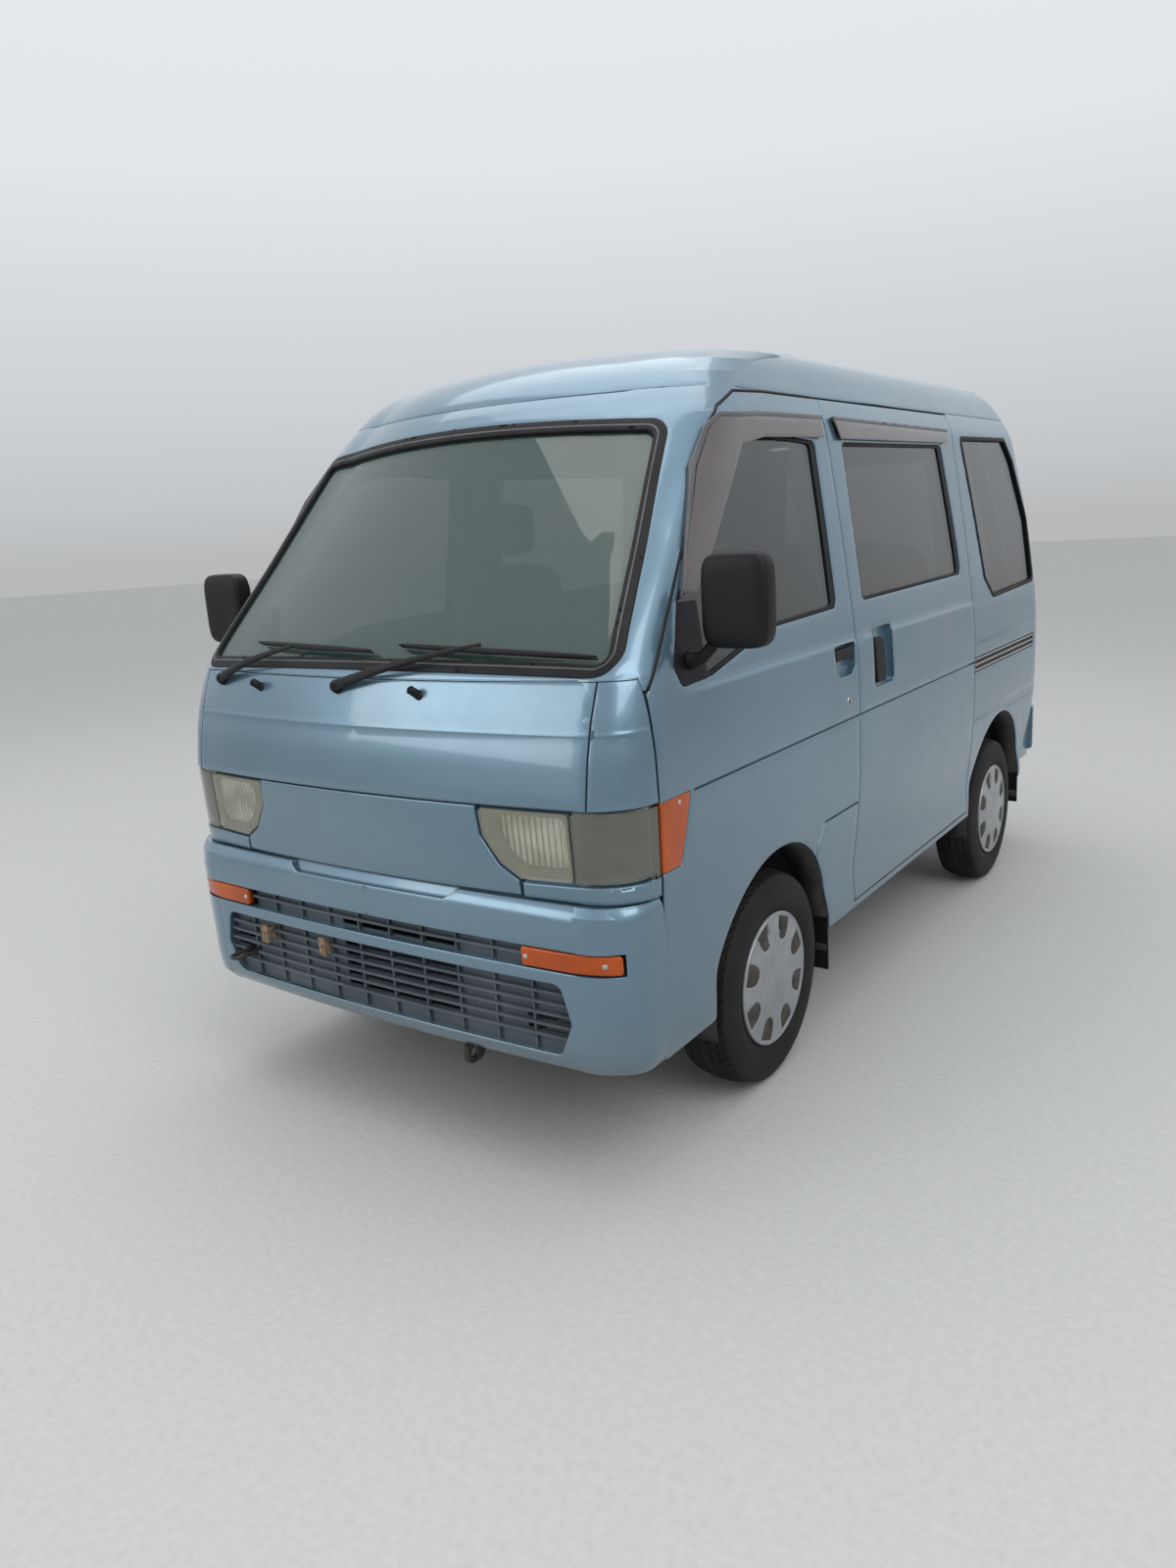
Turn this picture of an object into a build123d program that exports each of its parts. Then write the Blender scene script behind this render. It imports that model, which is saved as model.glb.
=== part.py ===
from build123d import *
from collections import namedtuple
from math import cos, radians, sin
import os

# A kei van with a high roof: +Z up, front towards -Y, the van's left side towards +X.
# The origin is on the ground under the middle of the van. Millimetres.

# Driving dimensions of the whole van
WHEELBASE = 1900
FRONT_HUB_Y = -940
TRACK = 1210
TYRE_RADIUS = 271
TYRE_WIDTH = 147
HUB_Z = TYRE_RADIUS
RAKE = 0.95
# The rear hub as seen from the body, which is pitched nose down about the front hub
REAR_HUB_Y = FRONT_HUB_Y + WHEELBASE * cos(radians(RAKE))
REAR_HUB_Z = HUB_Z - WHEELBASE * sin(radians(RAKE))
REAR_END_Y = 1647.5

# Walls, glass and gaps
WALL = 36
GLASS_DEPTH = 5
GLASS_THICK = 5
SHUT_GAP = 6
HINGE_EXTRA_GAP = 2.5
SEAT_GAP = 0.3

# Heights that several panels share, in the level body frame
SILL_Z = 286
NOSE_Z = 665
BUMPER_TOP_Z = 660
HOOD_Z = 857
BELT_Z = 1107
GUTTER_Z = 1690

# Body sections: each level is a plan outline of lines and arcs.
# half: half width; front: Y of the middle of the front; bow: how far the front falls back
# where its corner starts; corner_x: where that corner starts; corner_y: where it ends on the side;
# rear, rear_bow, rear_x, rear_y: the same for the rear.
Level = namedtuple("Level", "z half front bow corner_x corner_y rear rear_bow rear_x rear_y")
LEVELS = [
    Level(286, 676, -1590, 20, 560, -1480, 1560, 10, 560, 1440),
    Level(325, 678, -1592, 20, 560, -1478, 1580, 10, 560, 1450),
    Level(400, 671, -1596, 20, 560, -1476, 1600, 10, 556, 1455),
    Level(520, 685, -1604, 22, 565, -1474, 1606, 12, 556, 1455),
    Level(610, 693, -1614, 26, 570, -1470, 1609, 12, 556, 1455),
    Level(700, 697, -1628, 34, 572, -1467, 1610, 12, 556, 1455),
    Level(857, 697.5, -1638, 36, 572, -1465, 1610, 12, 556, 1455),
    Level(955, 695.5, -1626, 40, 570, -1455, 1610, 12, 554, 1455),
    Level(1030, 689, -1610, 44, 566, -1445, 1609, 12, 550, 1455),
    Level(1107, 681, -1588, 52, 558, -1422, 1607, 14, 545, 1455),
    Level(1192, 670, -1534, 62, 535, -1335, 1602, 16, 535, 1453),
    Level(1347, 649, -1416, 76, 500, -1180, 1580, 18, 505, 1440),
    Level(1501, 626, -1298, 83, 460, -1060, 1545, 20, 475, 1405),
    Level(1631, 606, -1198, 86, 420, -930, 1507, 14, 450, 1370),
    Level(1690, 578, -1150, 88, 385, -860, 1480, 14, 425, 1345),
    Level(1730, 560, -1118, 84, 360, -790, 1468, 26, 400, 1310),
    Level(1765, 542, -1065, 80, 330, -690, 1450, 28, 370, 1250),
    Level(1795, 515, -970, 74, 290, -480, 1412, 30, 330, 1150),
    Level(1817, 460, -820, 66, 240, -260, 1350, 30, 290, 1020),
    Level(1832, 370, -610, 56, 190, -60, 1255, 26, 230, 860),
    Level(1840, 230, -330, 40, 110, 120, 1110, 20, 140, 700),
]
ARC_NEAR = 0.28
ARC_FAR = 0.72

# Side openings, as (Y, Z) corners in the level body frame
DOOR_FRONT_Y = -1471
DOOR_REAR_Y = -428
DOOR_TOP_Z = GUTTER_Z - SHUT_GAP
DOOR_CUT_Z = 606
SLIDE_REAR_Y = 627
SLIDE_BOTTOM_Z = 312
FRONT_ARCH = (-925, 290, 320)
REAR_ARCH = (988, 272, 342)
FRONT_WINDOW = [
    (-1004, 1602), (-509, 1575), (-522, 1150), (-917, 1140), (-1216, 1073),
    (-1346, 1066), (-1372, 1112), (-1315, 1242),
]
SLIDE_WINDOW = [(-336, 1575), (-346, 1152), (536, 1161), (536, 1240), (500, 1583)]
QUARTER_WINDOW = [
    (718, 1612), (1262, 1618), (1339, 1541), (1440, 1312), (1438, 1072), (887, 1056), (800, 1126),
]

# Front openings, as (X, Z) in front view
SCREEN_BOTTOM_X = 640
SCREEN_TOP_X = 533
SCREEN_TOP_Z = 1615
SCREEN_CROWN = 24
SCREEN_SAG = 15
SCREEN_CORNER_R = 45
SEAL_WIDTH = 22
HOOD_HALF = 602
LAMP_TOP_Z = 850
LAMP_INNER_X = 343

# Where the front panels end before the doors, with room for the hinges
FASCIA_BACK_Y = DOOR_FRONT_Y - SHUT_GAP - HINGE_EXTRA_GAP

# Doors and tailgate
DOOR_AXIS_X = 688
DOOR_AXIS_Y = -1459
DOOR_HINGES_Z = (650, 940)
DOOR_PIN_R = 3.5
DOOR_EYE_R = 6
HINGE_PIN_R = 4
HINGE_EYE_R = 7
HINGE_EYE_H = 24
TAILGATE_HALF = 560
TAILGATE_BOTTOM_Z = 585
TAILGATE_TOP_Z = 1668
GATE_AXIS_Y = 1474
GATE_AXIS_Z = 1654
GATE_HINGES_X = (-300, 300)
GATE_TOP_EXTRA_GAP = 5
GATE_SWEEP_R = 33
GATE_TOP_HALF = 460
GATE_WINDOW_HALF = 500
GATE_WINDOW_Z = (1090, 1590)


def place(part, name):
    """Writes one piece, pitched nose down with the whole body about the front hubs."""
    part = part.rotate(Axis((0, FRONT_HUB_Y, HUB_Z), (1, 0, 0)), RAKE)
    part.label = name
    export_step(part, f"parts/{name}.step")


def plan_points(level, inset):
    """Corner points of one plan outline, moved inwards by inset."""
    half = level.half - inset
    start_x = level.corner_x - 0.4 * inset
    start_y = level.front + level.bow + inset
    rear_x = level.rear_x - 0.4 * inset
    rear_y = level.rear - level.rear_bow - inset
    return half, start_x, start_y, level.corner_y + 0.4 * inset, rear_x, rear_y, level.rear_y - 0.4 * inset


def body_solid(inset, lift=0.0):
    """The closed body form, each wall moved inwards by inset and the roof lowered by lift."""
    with BuildPart() as form:
        for level in LEVELS:
            z = level.z
            if z > GUTTER_Z:
                z = level.z - lift
            elif z == GUTTER_Z:
                z = level.z - 0.5 * lift
            half, sx, sy, cy, rx, ry, ey = plan_points(level, inset)
            with BuildSketch(Plane.XY.offset(z)):
                with BuildLine():
                    ThreePointArc((-sx, sy), (0, level.front + inset), (sx, sy))
                    ThreePointArc(
                        (sx, sy),
                        (sx + ARC_FAR * (half - sx), sy + ARC_NEAR * (cy - sy)),
                        (half, cy),
                    )
                    Line((half, cy), (half, ey))
                    ThreePointArc(
                        (half, ey),
                        (rx + ARC_FAR * (half - rx), ry - ARC_NEAR * (ry - ey)),
                        (rx, ry),
                    )
                    ThreePointArc((rx, ry), (0, level.rear - inset), (-rx, ry))
                    ThreePointArc(
                        (-rx, ry),
                        (-rx - ARC_FAR * (half - rx), ry - ARC_NEAR * (ry - ey)),
                        (-half, ey),
                    )
                    Line((-half, ey), (-half, cy))
                    ThreePointArc(
                        (-half, cy),
                        (-sx - ARC_FAR * (half - sx), sy + ARC_NEAR * (cy - sy)),
                        (-sx, sy),
                    )
                make_face()
        loft(ruled=True)
    return form.part


def prism(points, x_from, x_to, radius=0.0, grow=0.0):
    """A block across the van from x_from to x_to, with a side outline given as (Y, Z) corners."""
    with BuildPart() as block:
        with BuildSketch(Plane.YZ.offset(x_from)) as outline:
            with BuildLine():
                Polyline(*points, close=True)
            make_face()
            if radius:
                fillet(outline.vertices(), radius)
            if grow:
                offset(amount=grow, kind=Kind.INTERSECTION)
        extrude(amount=x_to - x_from)
    return block.part


def wheel_cut(arch, x_from, x_to, grow=0.0):
    """The round wheel opening of one side, open downwards."""
    y, z, radius = arch
    with BuildPart() as block:
        with BuildSketch(Plane.YZ.offset(x_from)):
            with Locations((y, z)):
                Circle(radius + grow)
            with Locations((y, z - 150)):
                Rectangle(2 * (radius + grow), 300)
        extrude(amount=x_to - x_from)
    return block.part


def front_prism(points, radius=0.0, grow=0.0, y_from=-1750, y_to=-1485):
    """A block along the van with a front outline given as (X, Z) corners."""
    with BuildPart() as block:
        with BuildSketch(Plane.XZ.offset(-y_to)) as outline:
            with BuildLine():
                Polyline(*points, close=True)
            make_face()
            if radius:
                fillet(outline.vertices(), radius)
            if grow:
                offset(amount=grow, kind=Kind.INTERSECTION)
        extrude(amount=y_to - y_from)
    return block.part


def screen_prism(inset):
    """The windscreen outline in front view, its top and bottom edges arched."""
    with BuildPart() as block:
        with BuildSketch(Plane.XZ.offset(800)) as outline:
            with BuildLine():
                bottom = ThreePointArc(
                    (-SCREEN_BOTTOM_X, BELT_Z), (0, BELT_Z + SCREEN_SAG), (SCREEN_BOTTOM_X, BELT_Z)
                )
                top = ThreePointArc(
                    (-SCREEN_TOP_X, SCREEN_TOP_Z),
                    (0, SCREEN_TOP_Z + SCREEN_CROWN),
                    (SCREEN_TOP_X, SCREEN_TOP_Z),
                )
                Line(bottom @ 0, top @ 0)
                Line(bottom @ 1, top @ 1)
            make_face()
            fillet(outline.vertices(), SCREEN_CORNER_R)
            if inset:
                offset(amount=-inset)
        extrude(amount=1000)
    return block.part


def box(x, y, z):
    """A plain block between two limits along each axis."""
    with BuildPart() as block:
        with Locations(((x[0] + x[1]) / 2, (y[0] + y[1]) / 2, (z[0] + z[1]) / 2)):
            Box(x[1] - x[0], y[1] - y[0], z[1] - z[0])
    return block.part


def cylinder(start, end, radius, bore=0.0):
    """A round bar or tube from one point to another."""
    axis = Vector(*end) - Vector(*start)
    with BuildPart() as bar:
        with BuildSketch(Plane(origin=start, z_dir=axis)):
            Circle(radius)
            if bore:
                Circle(bore, mode=Mode.SUBTRACT)
        extrude(amount=axis.length)
    return bar.part


def both(part):
    """A left-hand piece with its right-hand twin."""
    return Compound(children=[part, part.mirror(Plane.YZ)])


DOOR_OUTLINE = [
    (DOOR_FRONT_Y, 280), (DOOR_FRONT_Y, 1070), (-1443, 1103), (-1241, 1343), (-1070, 1568),
    (-976, 1641), (-886, 1678), (-740, DOOR_TOP_Z), (DOOR_REAR_Y, DOOR_TOP_Z), (DOOR_REAR_Y, DOOR_CUT_Z),
    (-657, DOOR_CUT_Z), (-700, 545), (-720, 280),
]
SLIDE_OUTLINE = [
    (DOOR_REAR_Y + SHUT_GAP, SLIDE_BOTTOM_Z), (DOOR_REAR_Y + SHUT_GAP, DOOR_TOP_Z),
    (SLIDE_REAR_Y, DOOR_TOP_Z), (SLIDE_REAR_Y, SLIDE_BOTTOM_Z),
]
GATE_OUTLINE = [
    (-TAILGATE_HALF, TAILGATE_BOTTOM_Z), (TAILGATE_HALF, TAILGATE_BOTTOM_Z), (TAILGATE_HALF, 1100),
    (455, TAILGATE_TOP_Z), (-455, TAILGATE_TOP_Z), (-TAILGATE_HALF, 1100),
]
LAMP_OUTLINE = [
    (LAMP_INNER_X, LAMP_TOP_Z), (LAMP_INNER_X + 5, 790), (LAMP_INNER_X + 45, 730), (LAMP_INNER_X + 92, 699),
    (760, 706), (760, LAMP_TOP_Z),
]
NOSE_OUTLINE = [
    (-432, NOSE_Z), (432, NOSE_Z), (431, 697), (384, 728), (344, 789), (339, LAMP_TOP_Z + 3),
    (-339, LAMP_TOP_Z + 3), (-344, 789), (-384, 728), (-431, 697),
]

os.makedirs("parts", exist_ok=True)
outer = body_solid(0)
glass_outer = body_solid(GLASS_DEPTH)
glass_inner = body_solid(GLASS_DEPTH + GLASS_THICK)
cabin = body_solid(WALL, WALL)
backing = body_solid(18)
wall = outer - cabin
skin = outer - backing
glass_layer = glass_outer - glass_inner

# Cuts shared by the body and its panels, for the left side
front_door_hole = prism(DOOR_OUTLINE, 450, 760, grow=SHUT_GAP)
slide_hole = prism(SLIDE_OUTLINE, 450, 760, grow=SHUT_GAP)
front_window = prism(FRONT_WINDOW, 450, 760, radius=22)
slide_window = prism(SLIDE_WINDOW, 450, 760, radius=22)
quarter_window = prism(QUARTER_WINDOW, 450, 760, radius=22)
front_arch = wheel_cut(FRONT_ARCH, 450, 760)
rear_arch = wheel_cut(REAR_ARCH, 450, 760)
fascia_zone = box((-760, 760), (-1750, FASCIA_BACK_Y), (BUMPER_TOP_Z, BELT_Z - 3))
bumper_zone = box((-760, 760), (-1750, FASCIA_BACK_Y), (200, BUMPER_TOP_Z))
gate_zone = front_prism(GATE_OUTLINE, y_from=1300, y_to=1750)
gate_hole = front_prism(GATE_OUTLINE, grow=SHUT_GAP, y_from=1300, y_to=1750)
gate_top = (TAILGATE_TOP_Z, TAILGATE_TOP_Z + SHUT_GAP + GATE_TOP_EXTRA_GAP)
gate_top_gap = box((-GATE_TOP_HALF, GATE_TOP_HALF), (1300, 1750), gate_top)
gate_sweep = cylinder(
    (-GATE_TOP_HALF, GATE_AXIS_Y, GATE_AXIS_Z), (GATE_TOP_HALF, GATE_AXIS_Y, GATE_AXIS_Z), GATE_SWEEP_R
)
RAIL_Z = (810, 866)
RAIL_END_Y = 1425
rail_zone = box((640, 760), (SLIDE_REAR_Y + SHUT_GAP, RAIL_END_Y), RAIL_Z)
groove_layer = outer - glass_outer
tail_lamp_zone = box((TAILGATE_HALF + SHUT_GAP + 2, 720), (1490, 1700), (640, 905))

# The body: a front frame, two side frames and a rear frame that meet on flat joins, and the stepped floor
FLOOR_THICK = 18
LINER_THICK = 10
FOOT_Z = 385
SEAT_BASE_Z = 640
LOAD_FLOOR_Z = 560
FOOT_BACK_Y = -1262
SEAT_BACK_Y = -600
POST_X = (590, 628)
POST_TOP_Z = 1640
ROOF_RAIL_X = (500, 528)
FRONT_JOIN_Y = -850
REAR_JOIN_Y = 1440
REAR_SKIRT_Z = 352
BULKHEAD_Y = (-1552, -1538)
STRUT_HOLE = (430, 526)
STRUT_HALF = 44
hinge_slot = box((POST_X[1], 760), (FASCIA_BACK_Y, DOOR_FRONT_Y), (270, 1080))
post_outline = [
    (POST_X[0], SILL_Z), (POST_X[1], SILL_Z), (POST_X[1], 1150), (562, POST_TOP_Z), (520, POST_TOP_Z),
    (POST_X[0] - 5, 1150),
]
post_a = box(POST_X, (BULKHEAD_Y[1], -1400), (FOOT_Z - FLOOR_THICK, BELT_Z - 20))
post_b = front_prism(post_outline, y_from=-480, y_to=-370)
post_c = front_prism(post_outline, y_from=SLIDE_REAR_Y - 40, y_to=SLIDE_REAR_Y + 60)
roof_rail = box(ROOF_RAIL_X, (FRONT_JOIN_Y, 1350), (1635, 1720))
sill = box((540, POST_X[1]), (SEAT_BACK_Y, SLIDE_REAR_Y + 30), (SILL_Z, LOAD_FLOOR_Z))
scuttle = box((-650, 650), (-1640, BULKHEAD_Y[1]), (BELT_Z - 45, BELT_Z - 30))

with BuildPart() as front_shell:
    add(wall)
    add(box((-760, 760), (-1750, FRONT_JOIN_Y), (SILL_Z + 2, GUTTER_Z)), mode=Mode.INTERSECT)
    for hole in (front_door_hole, front_arch, hinge_slot):
        add(hole, mode=Mode.SUBTRACT)
        add(hole.mirror(Plane.YZ), mode=Mode.SUBTRACT)
    add(screen_prism(0), mode=Mode.SUBTRACT)
    add(bumper_zone, mode=Mode.SUBTRACT)
    add(fascia_zone - backing, mode=Mode.SUBTRACT)
with BuildPart() as front_inner:
    add(both(post_a))
    add(scuttle)
    add(cabin, mode=Mode.INTERSECT)
with BuildPart() as door_brackets:
    for z in DOOR_HINGES_Z:
        add(box((POST_X[0], DOOR_AXIS_X), (DOOR_AXIS_Y - 4, DOOR_AXIS_Y + 8), (z - 14, z - 4)))
        pin_ends = [(DOOR_AXIS_X, DOOR_AXIS_Y, end) for end in (z - 14, z + HINGE_EYE_H)]
        add(cylinder(*pin_ends, DOOR_PIN_R))
with BuildPart() as front_frame:
    add(front_shell.part)
    add(front_inner.part)
    add(both(door_brackets.part))
place(front_frame.part, "front_frame")

with BuildPart() as side_shell:
    add(wall)
    add(box((100, 760), (FRONT_JOIN_Y, REAR_JOIN_Y), (SILL_Z + 2, GUTTER_Z)), mode=Mode.INTERSECT)
    for hole in (front_door_hole, slide_hole, quarter_window, rear_arch, front_arch):
        add(hole, mode=Mode.SUBTRACT)
    add(rail_zone & groove_layer, mode=Mode.SUBTRACT)
    add(gate_hole, mode=Mode.SUBTRACT)
    add(gate_top_gap, mode=Mode.SUBTRACT)
    add(box((100, 760), (1350, REAR_JOIN_Y), (200, REAR_SKIRT_Z)), mode=Mode.SUBTRACT)
with BuildPart() as side_inner:
    for piece in (post_b, post_c, roof_rail, sill):
        add(piece)
    for arch in (FRONT_ARCH, REAR_ARCH):
        add(wheel_cut(arch, 300, 700, grow=LINER_THICK), mode=Mode.SUBTRACT)
    add(cabin, mode=Mode.INTERSECT)
with BuildPart() as side_frame:
    add(side_shell.part)
    add(side_inner.part)
for side, name in ((1, "left"), (-1, "right")):
    place(side_frame.part if side == 1 else side_frame.part.mirror(Plane.YZ), f"side_frame_{name}")

with BuildPart() as gate_brackets:
    for x in GATE_HINGES_X:
        eye_z = (GATE_AXIS_Z - HINGE_EYE_R, GATE_AXIS_Z + HINGE_EYE_R)
        add(box((x - 26, x - 16), (1430, GATE_AXIS_Y), eye_z))
        add(box((x - 26, x - 16), (REAR_JOIN_Y, GATE_AXIS_Y - 12), (GATE_AXIS_Z, GUTTER_Z - 6)))
        add(cylinder((x - 26, GATE_AXIS_Y, GATE_AXIS_Z), (x - 16, GATE_AXIS_Y, GATE_AXIS_Z), HINGE_EYE_R))
        add(cylinder((x - 18, GATE_AXIS_Y, GATE_AXIS_Z), (x + 14, GATE_AXIS_Y, GATE_AXIS_Z), HINGE_PIN_R))
with BuildPart() as rear_frame:
    add(wall)
    add(box((-760, 760), (REAR_JOIN_Y, 1750), (REAR_SKIRT_Z, GUTTER_Z)), mode=Mode.INTERSECT)
    add(gate_hole, mode=Mode.SUBTRACT)
    add(gate_top_gap, mode=Mode.SUBTRACT)
    add(gate_sweep, mode=Mode.SUBTRACT)
    add(both(tail_lamp_zone - backing), mode=Mode.SUBTRACT)
    add(both(quarter_window), mode=Mode.SUBTRACT)
    add(gate_brackets.part)
place(rear_frame.part, "rear_frame")

# The stepped floor with the front bulkhead and the wheel housings
with BuildPart() as floor_sheet:
    with BuildSketch(Plane.YZ.offset(-650)):
        with BuildLine():
            Polyline(
                (BULKHEAD_Y[1], FOOT_Z), (FOOT_BACK_Y, FOOT_Z), (FOOT_BACK_Y, SEAT_BASE_Z),
                (SEAT_BACK_Y, SEAT_BASE_Z), (SEAT_BACK_Y, LOAD_FLOOR_Z), (1590, LOAD_FLOOR_Z),
                (1590, LOAD_FLOOR_Z - FLOOR_THICK),
                (SEAT_BACK_Y - FLOOR_THICK, LOAD_FLOOR_Z - FLOOR_THICK),
                (SEAT_BACK_Y - FLOOR_THICK, SEAT_BASE_Z - FLOOR_THICK),
                (FOOT_BACK_Y + FLOOR_THICK, SEAT_BASE_Z - FLOOR_THICK),
                (FOOT_BACK_Y + FLOOR_THICK, FOOT_Z - FLOOR_THICK),
                (BULKHEAD_Y[1], FOOT_Z - FLOOR_THICK), close=True,
            )
        make_face()
    extrude(amount=1300)
step = box((540, POST_X[1]), (-1520, FOOT_BACK_Y + FLOOR_THICK), (FOOT_Z - 90, FOOT_Z))
bulkhead = box((-650, 650), BULKHEAD_Y, (FOOT_Z - FLOOR_THICK, BELT_Z - 45))
shelf = box((-650, 650), (-1640, BULKHEAD_Y[1]), (NOSE_Z - 25, NOSE_Z - 10))
strut_hole = box(STRUT_HOLE, (FRONT_HUB_Y - STRUT_HALF - 4, FRONT_HUB_Y + STRUT_HALF + 4),
                 (590, SEAT_BASE_Z - FLOOR_THICK))
door_room = box((POST_X[1], 760), (DOOR_FRONT_Y - 60, DOOR_REAR_Y + 10), (200, BELT_Z))
with BuildPart() as floor_pan:
    add(floor_sheet.part)
    add(bulkhead)
    add(shelf)
    for piece in (step, wheel_cut(FRONT_ARCH, 480, POST_X[1], grow=LINER_THICK),
                  wheel_cut(REAR_ARCH, 480, 660, grow=LINER_THICK)):
        add(both(piece))
    for arch in (FRONT_ARCH, REAR_ARCH):
        add(both(wheel_cut(arch, 480 + LINER_THICK, 700)), mode=Mode.SUBTRACT)
    add(both(wheel_cut(FRONT_ARCH, 300, 700)), mode=Mode.SUBTRACT)
    add(both(strut_hole), mode=Mode.SUBTRACT)
    for piece in (post_a, post_b, post_c, sill):
        add(both(piece), mode=Mode.SUBTRACT)
    add(box((-760, 760), (-1300, 1750), (0, SILL_Z)), mode=Mode.SUBTRACT)
    add(both(door_room), mode=Mode.SUBTRACT)
    add(cabin, mode=Mode.INTERSECT)
place(floor_pan.part, "floor_pan")

with BuildPart() as roof_panel:
    add(wall)
    split(bisect_by=Plane.XY.offset(GUTTER_Z), keep=Keep.TOP)
place(roof_panel.part, "roof_panel")

# Front panels, each seated on the backing that the body keeps behind them
SEAM = 2
with BuildPart() as hood_panel:
    add(skin)
    add(front_prism([(-HOOD_HALF, HOOD_Z), (HOOD_HALF, HOOD_Z), (HOOD_HALF, 1140), (-HOOD_HALF, 1140)]),
        mode=Mode.INTERSECT)
    add(screen_prism(0), mode=Mode.SUBTRACT)
    add(box((-760, 760), (-1750, 0), (BELT_Z - 3 - SEAM, 1140)), mode=Mode.SUBTRACT)
place(hood_panel.part, "hood_panel")
with BuildPart() as corner_panel:
    add(skin)
    add(box((HOOD_HALF + 2 * SEAM, 760), (-1750, FASCIA_BACK_Y), (HOOD_Z, BELT_Z - 3 - SEAM)),
        mode=Mode.INTERSECT)
with BuildPart() as lamp_strip:
    add(skin)
    add(front_prism([(438, NOSE_Z - 3), (760, NOSE_Z - 3), (760, 702), (440, 694)],
                    y_to=FASCIA_BACK_Y), mode=Mode.INTERSECT)
place(Compound(children=[both(corner_panel.part), both(lamp_strip.part)]), "corner_panels")
with BuildPart() as nose_panel:
    add(skin)
    add(front_prism(NOSE_OUTLINE), mode=Mode.INTERSECT)
place(nose_panel.part, "nose_panel")
with BuildPart() as headlamp:
    add(skin)
    add(front_prism(LAMP_OUTLINE, grow=-SEAM, y_to=FASCIA_BACK_Y), mode=Mode.INTERSECT)
    add(box((300, 760), (FASCIA_BACK_Y, 0), (600, 900)), mode=Mode.SUBTRACT)
place(both(headlamp.part), "headlamps")

# Windscreen and its rubber seal
with BuildPart() as windscreen:
    add(glass_layer)
    add(screen_prism(SEAL_WIDTH), mode=Mode.INTERSECT)
place(windscreen.part, "windscreen")
with BuildPart() as windscreen_seal:
    add(outer)
    add(glass_inner, mode=Mode.SUBTRACT)
    add(screen_prism(0) - screen_prism(SEAL_WIDTH), mode=Mode.INTERSECT)
place(windscreen_seal.part, "windscreen_seal")

# Front bumper: columns z, half width, middle front, fall-back at the corner start, corner start
BumperLevel = namedtuple("BumperLevel", "z half front bow corner_x")
BUMPER_LEVELS = [
    BumperLevel(292, 676, -1618, 18, 540),
    BumperLevel(312, 686, -1634, 18, 550),
    BumperLevel(345, 690, -1639, 18, 556),
    BumperLevel(480, 694, -1641, 18, 560),
    BumperLevel(600, 697, -1642, 18, 562),
    BumperLevel(640, 696, -1638, 20, 560),
    BumperLevel(658, 688, -1626, 22, 552),
]
BUMPER_WALL = 26
STAY_Y = -1585
PLATE_HOLES_Z = 459
PLATE_HOLES_X = (-377, -167)
HOOK_X = -470
HOOK_Z = 390
HOOK_TIP_Y = -1684
HOOK_HALF = 16
HOOK_ROD_R = 5


def bumper_solid(levels, inset):
    """The bumper form closed at the back, its walls moved inwards by inset."""
    with BuildPart() as form:
        for level in levels:
            half = level.half - inset
            start_x = level.corner_x - 0.4 * inset
            start_y = level.front + level.bow + inset
            with BuildSketch(Plane.XY.offset(level.z)):
                with BuildLine():
                    ThreePointArc((-start_x, start_y), (0, level.front + inset), (start_x, start_y))
                    ThreePointArc(
                        (start_x, start_y),
                        (start_x + 0.74 * (half - start_x), start_y + 0.34 * (-1520 - start_y)),
                        (half, -1520),
                    )
                    Polyline((half, -1520), (half, FASCIA_BACK_Y), (-half, FASCIA_BACK_Y), (-half, -1520))
                    ThreePointArc(
                        (-half, -1520),
                        (-start_x - 0.74 * (half - start_x), start_y + 0.34 * (-1520 - start_y)),
                        (-start_x, start_y),
                    )
                make_face()
        loft(ruled=True)
    return form.part


LAMP_BAR_Z = (518, 566)
BUMPER_LAMP_X = (434, 668)
OPENING = [(-530, 490), (530, 490), (552, 405), (520, 330), (-520, 330), (-552, 405)]
NOTCH = [(-261, 700), (-261, 652), (-235, 638), (235, 638), (261, 652), (261, 700)]
LOW_SLOT = [(-462, 338), (-112, 330), (-118, 304), (-462, 310)]
PANEL_INSET = 20
SLAT_INSET = 7
RIB_INSET = 12
SLAT_THICK = 6
SLATS_Z = (366, 390.5, 415, 439.5, 464)
UPPER_SLAT_Z = 544
RIBS_X = (-450, -350, -250, -150, -50, 50, 150, 250, 350, 450)
RIB_THICK = 5
VENT_X = (-110, 252)
HOOK_CELLS_X = (-538, -455)
bumper_outer = bumper_solid(BUMPER_LEVELS, 0)
bumper_inner = bumper_solid(BUMPER_LEVELS, BUMPER_WALL)
bumper_opening = front_prism(OPENING, radius=24)
lamp_bar = box((-BUMPER_LAMP_X[1], BUMPER_LAMP_X[1]), (-1750, -1560), LAMP_BAR_Z)
with BuildPart() as front_bumper:
    add(bumper_outer)
    add(bumper_inner, mode=Mode.SUBTRACT)
    add(bumper_opening, mode=Mode.SUBTRACT)
    add(lamp_bar, mode=Mode.SUBTRACT)
    add(front_prism(NOTCH) - bumper_solid(BUMPER_LEVELS, 14), mode=Mode.SUBTRACT)
    add(front_prism(LOW_SLOT, radius=9) - bumper_solid(BUMPER_LEVELS, 8), mode=Mode.SUBTRACT)
    for side in (-1, 1):
        add(box((side * 350 - 25, side * 350 + 25), (-1626, STAY_Y), (304, 326)))
place(front_bumper.part, "front_bumper")
bumper_shell = bumper_outer - bumper_inner
with BuildPart() as bumper_lamp:
    add(bumper_shell)
    add(box(BUMPER_LAMP_X, (-1750, -1560), LAMP_BAR_Z), mode=Mode.INTERSECT)
place(both(bumper_lamp.part), "bumper_lamps")

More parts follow.
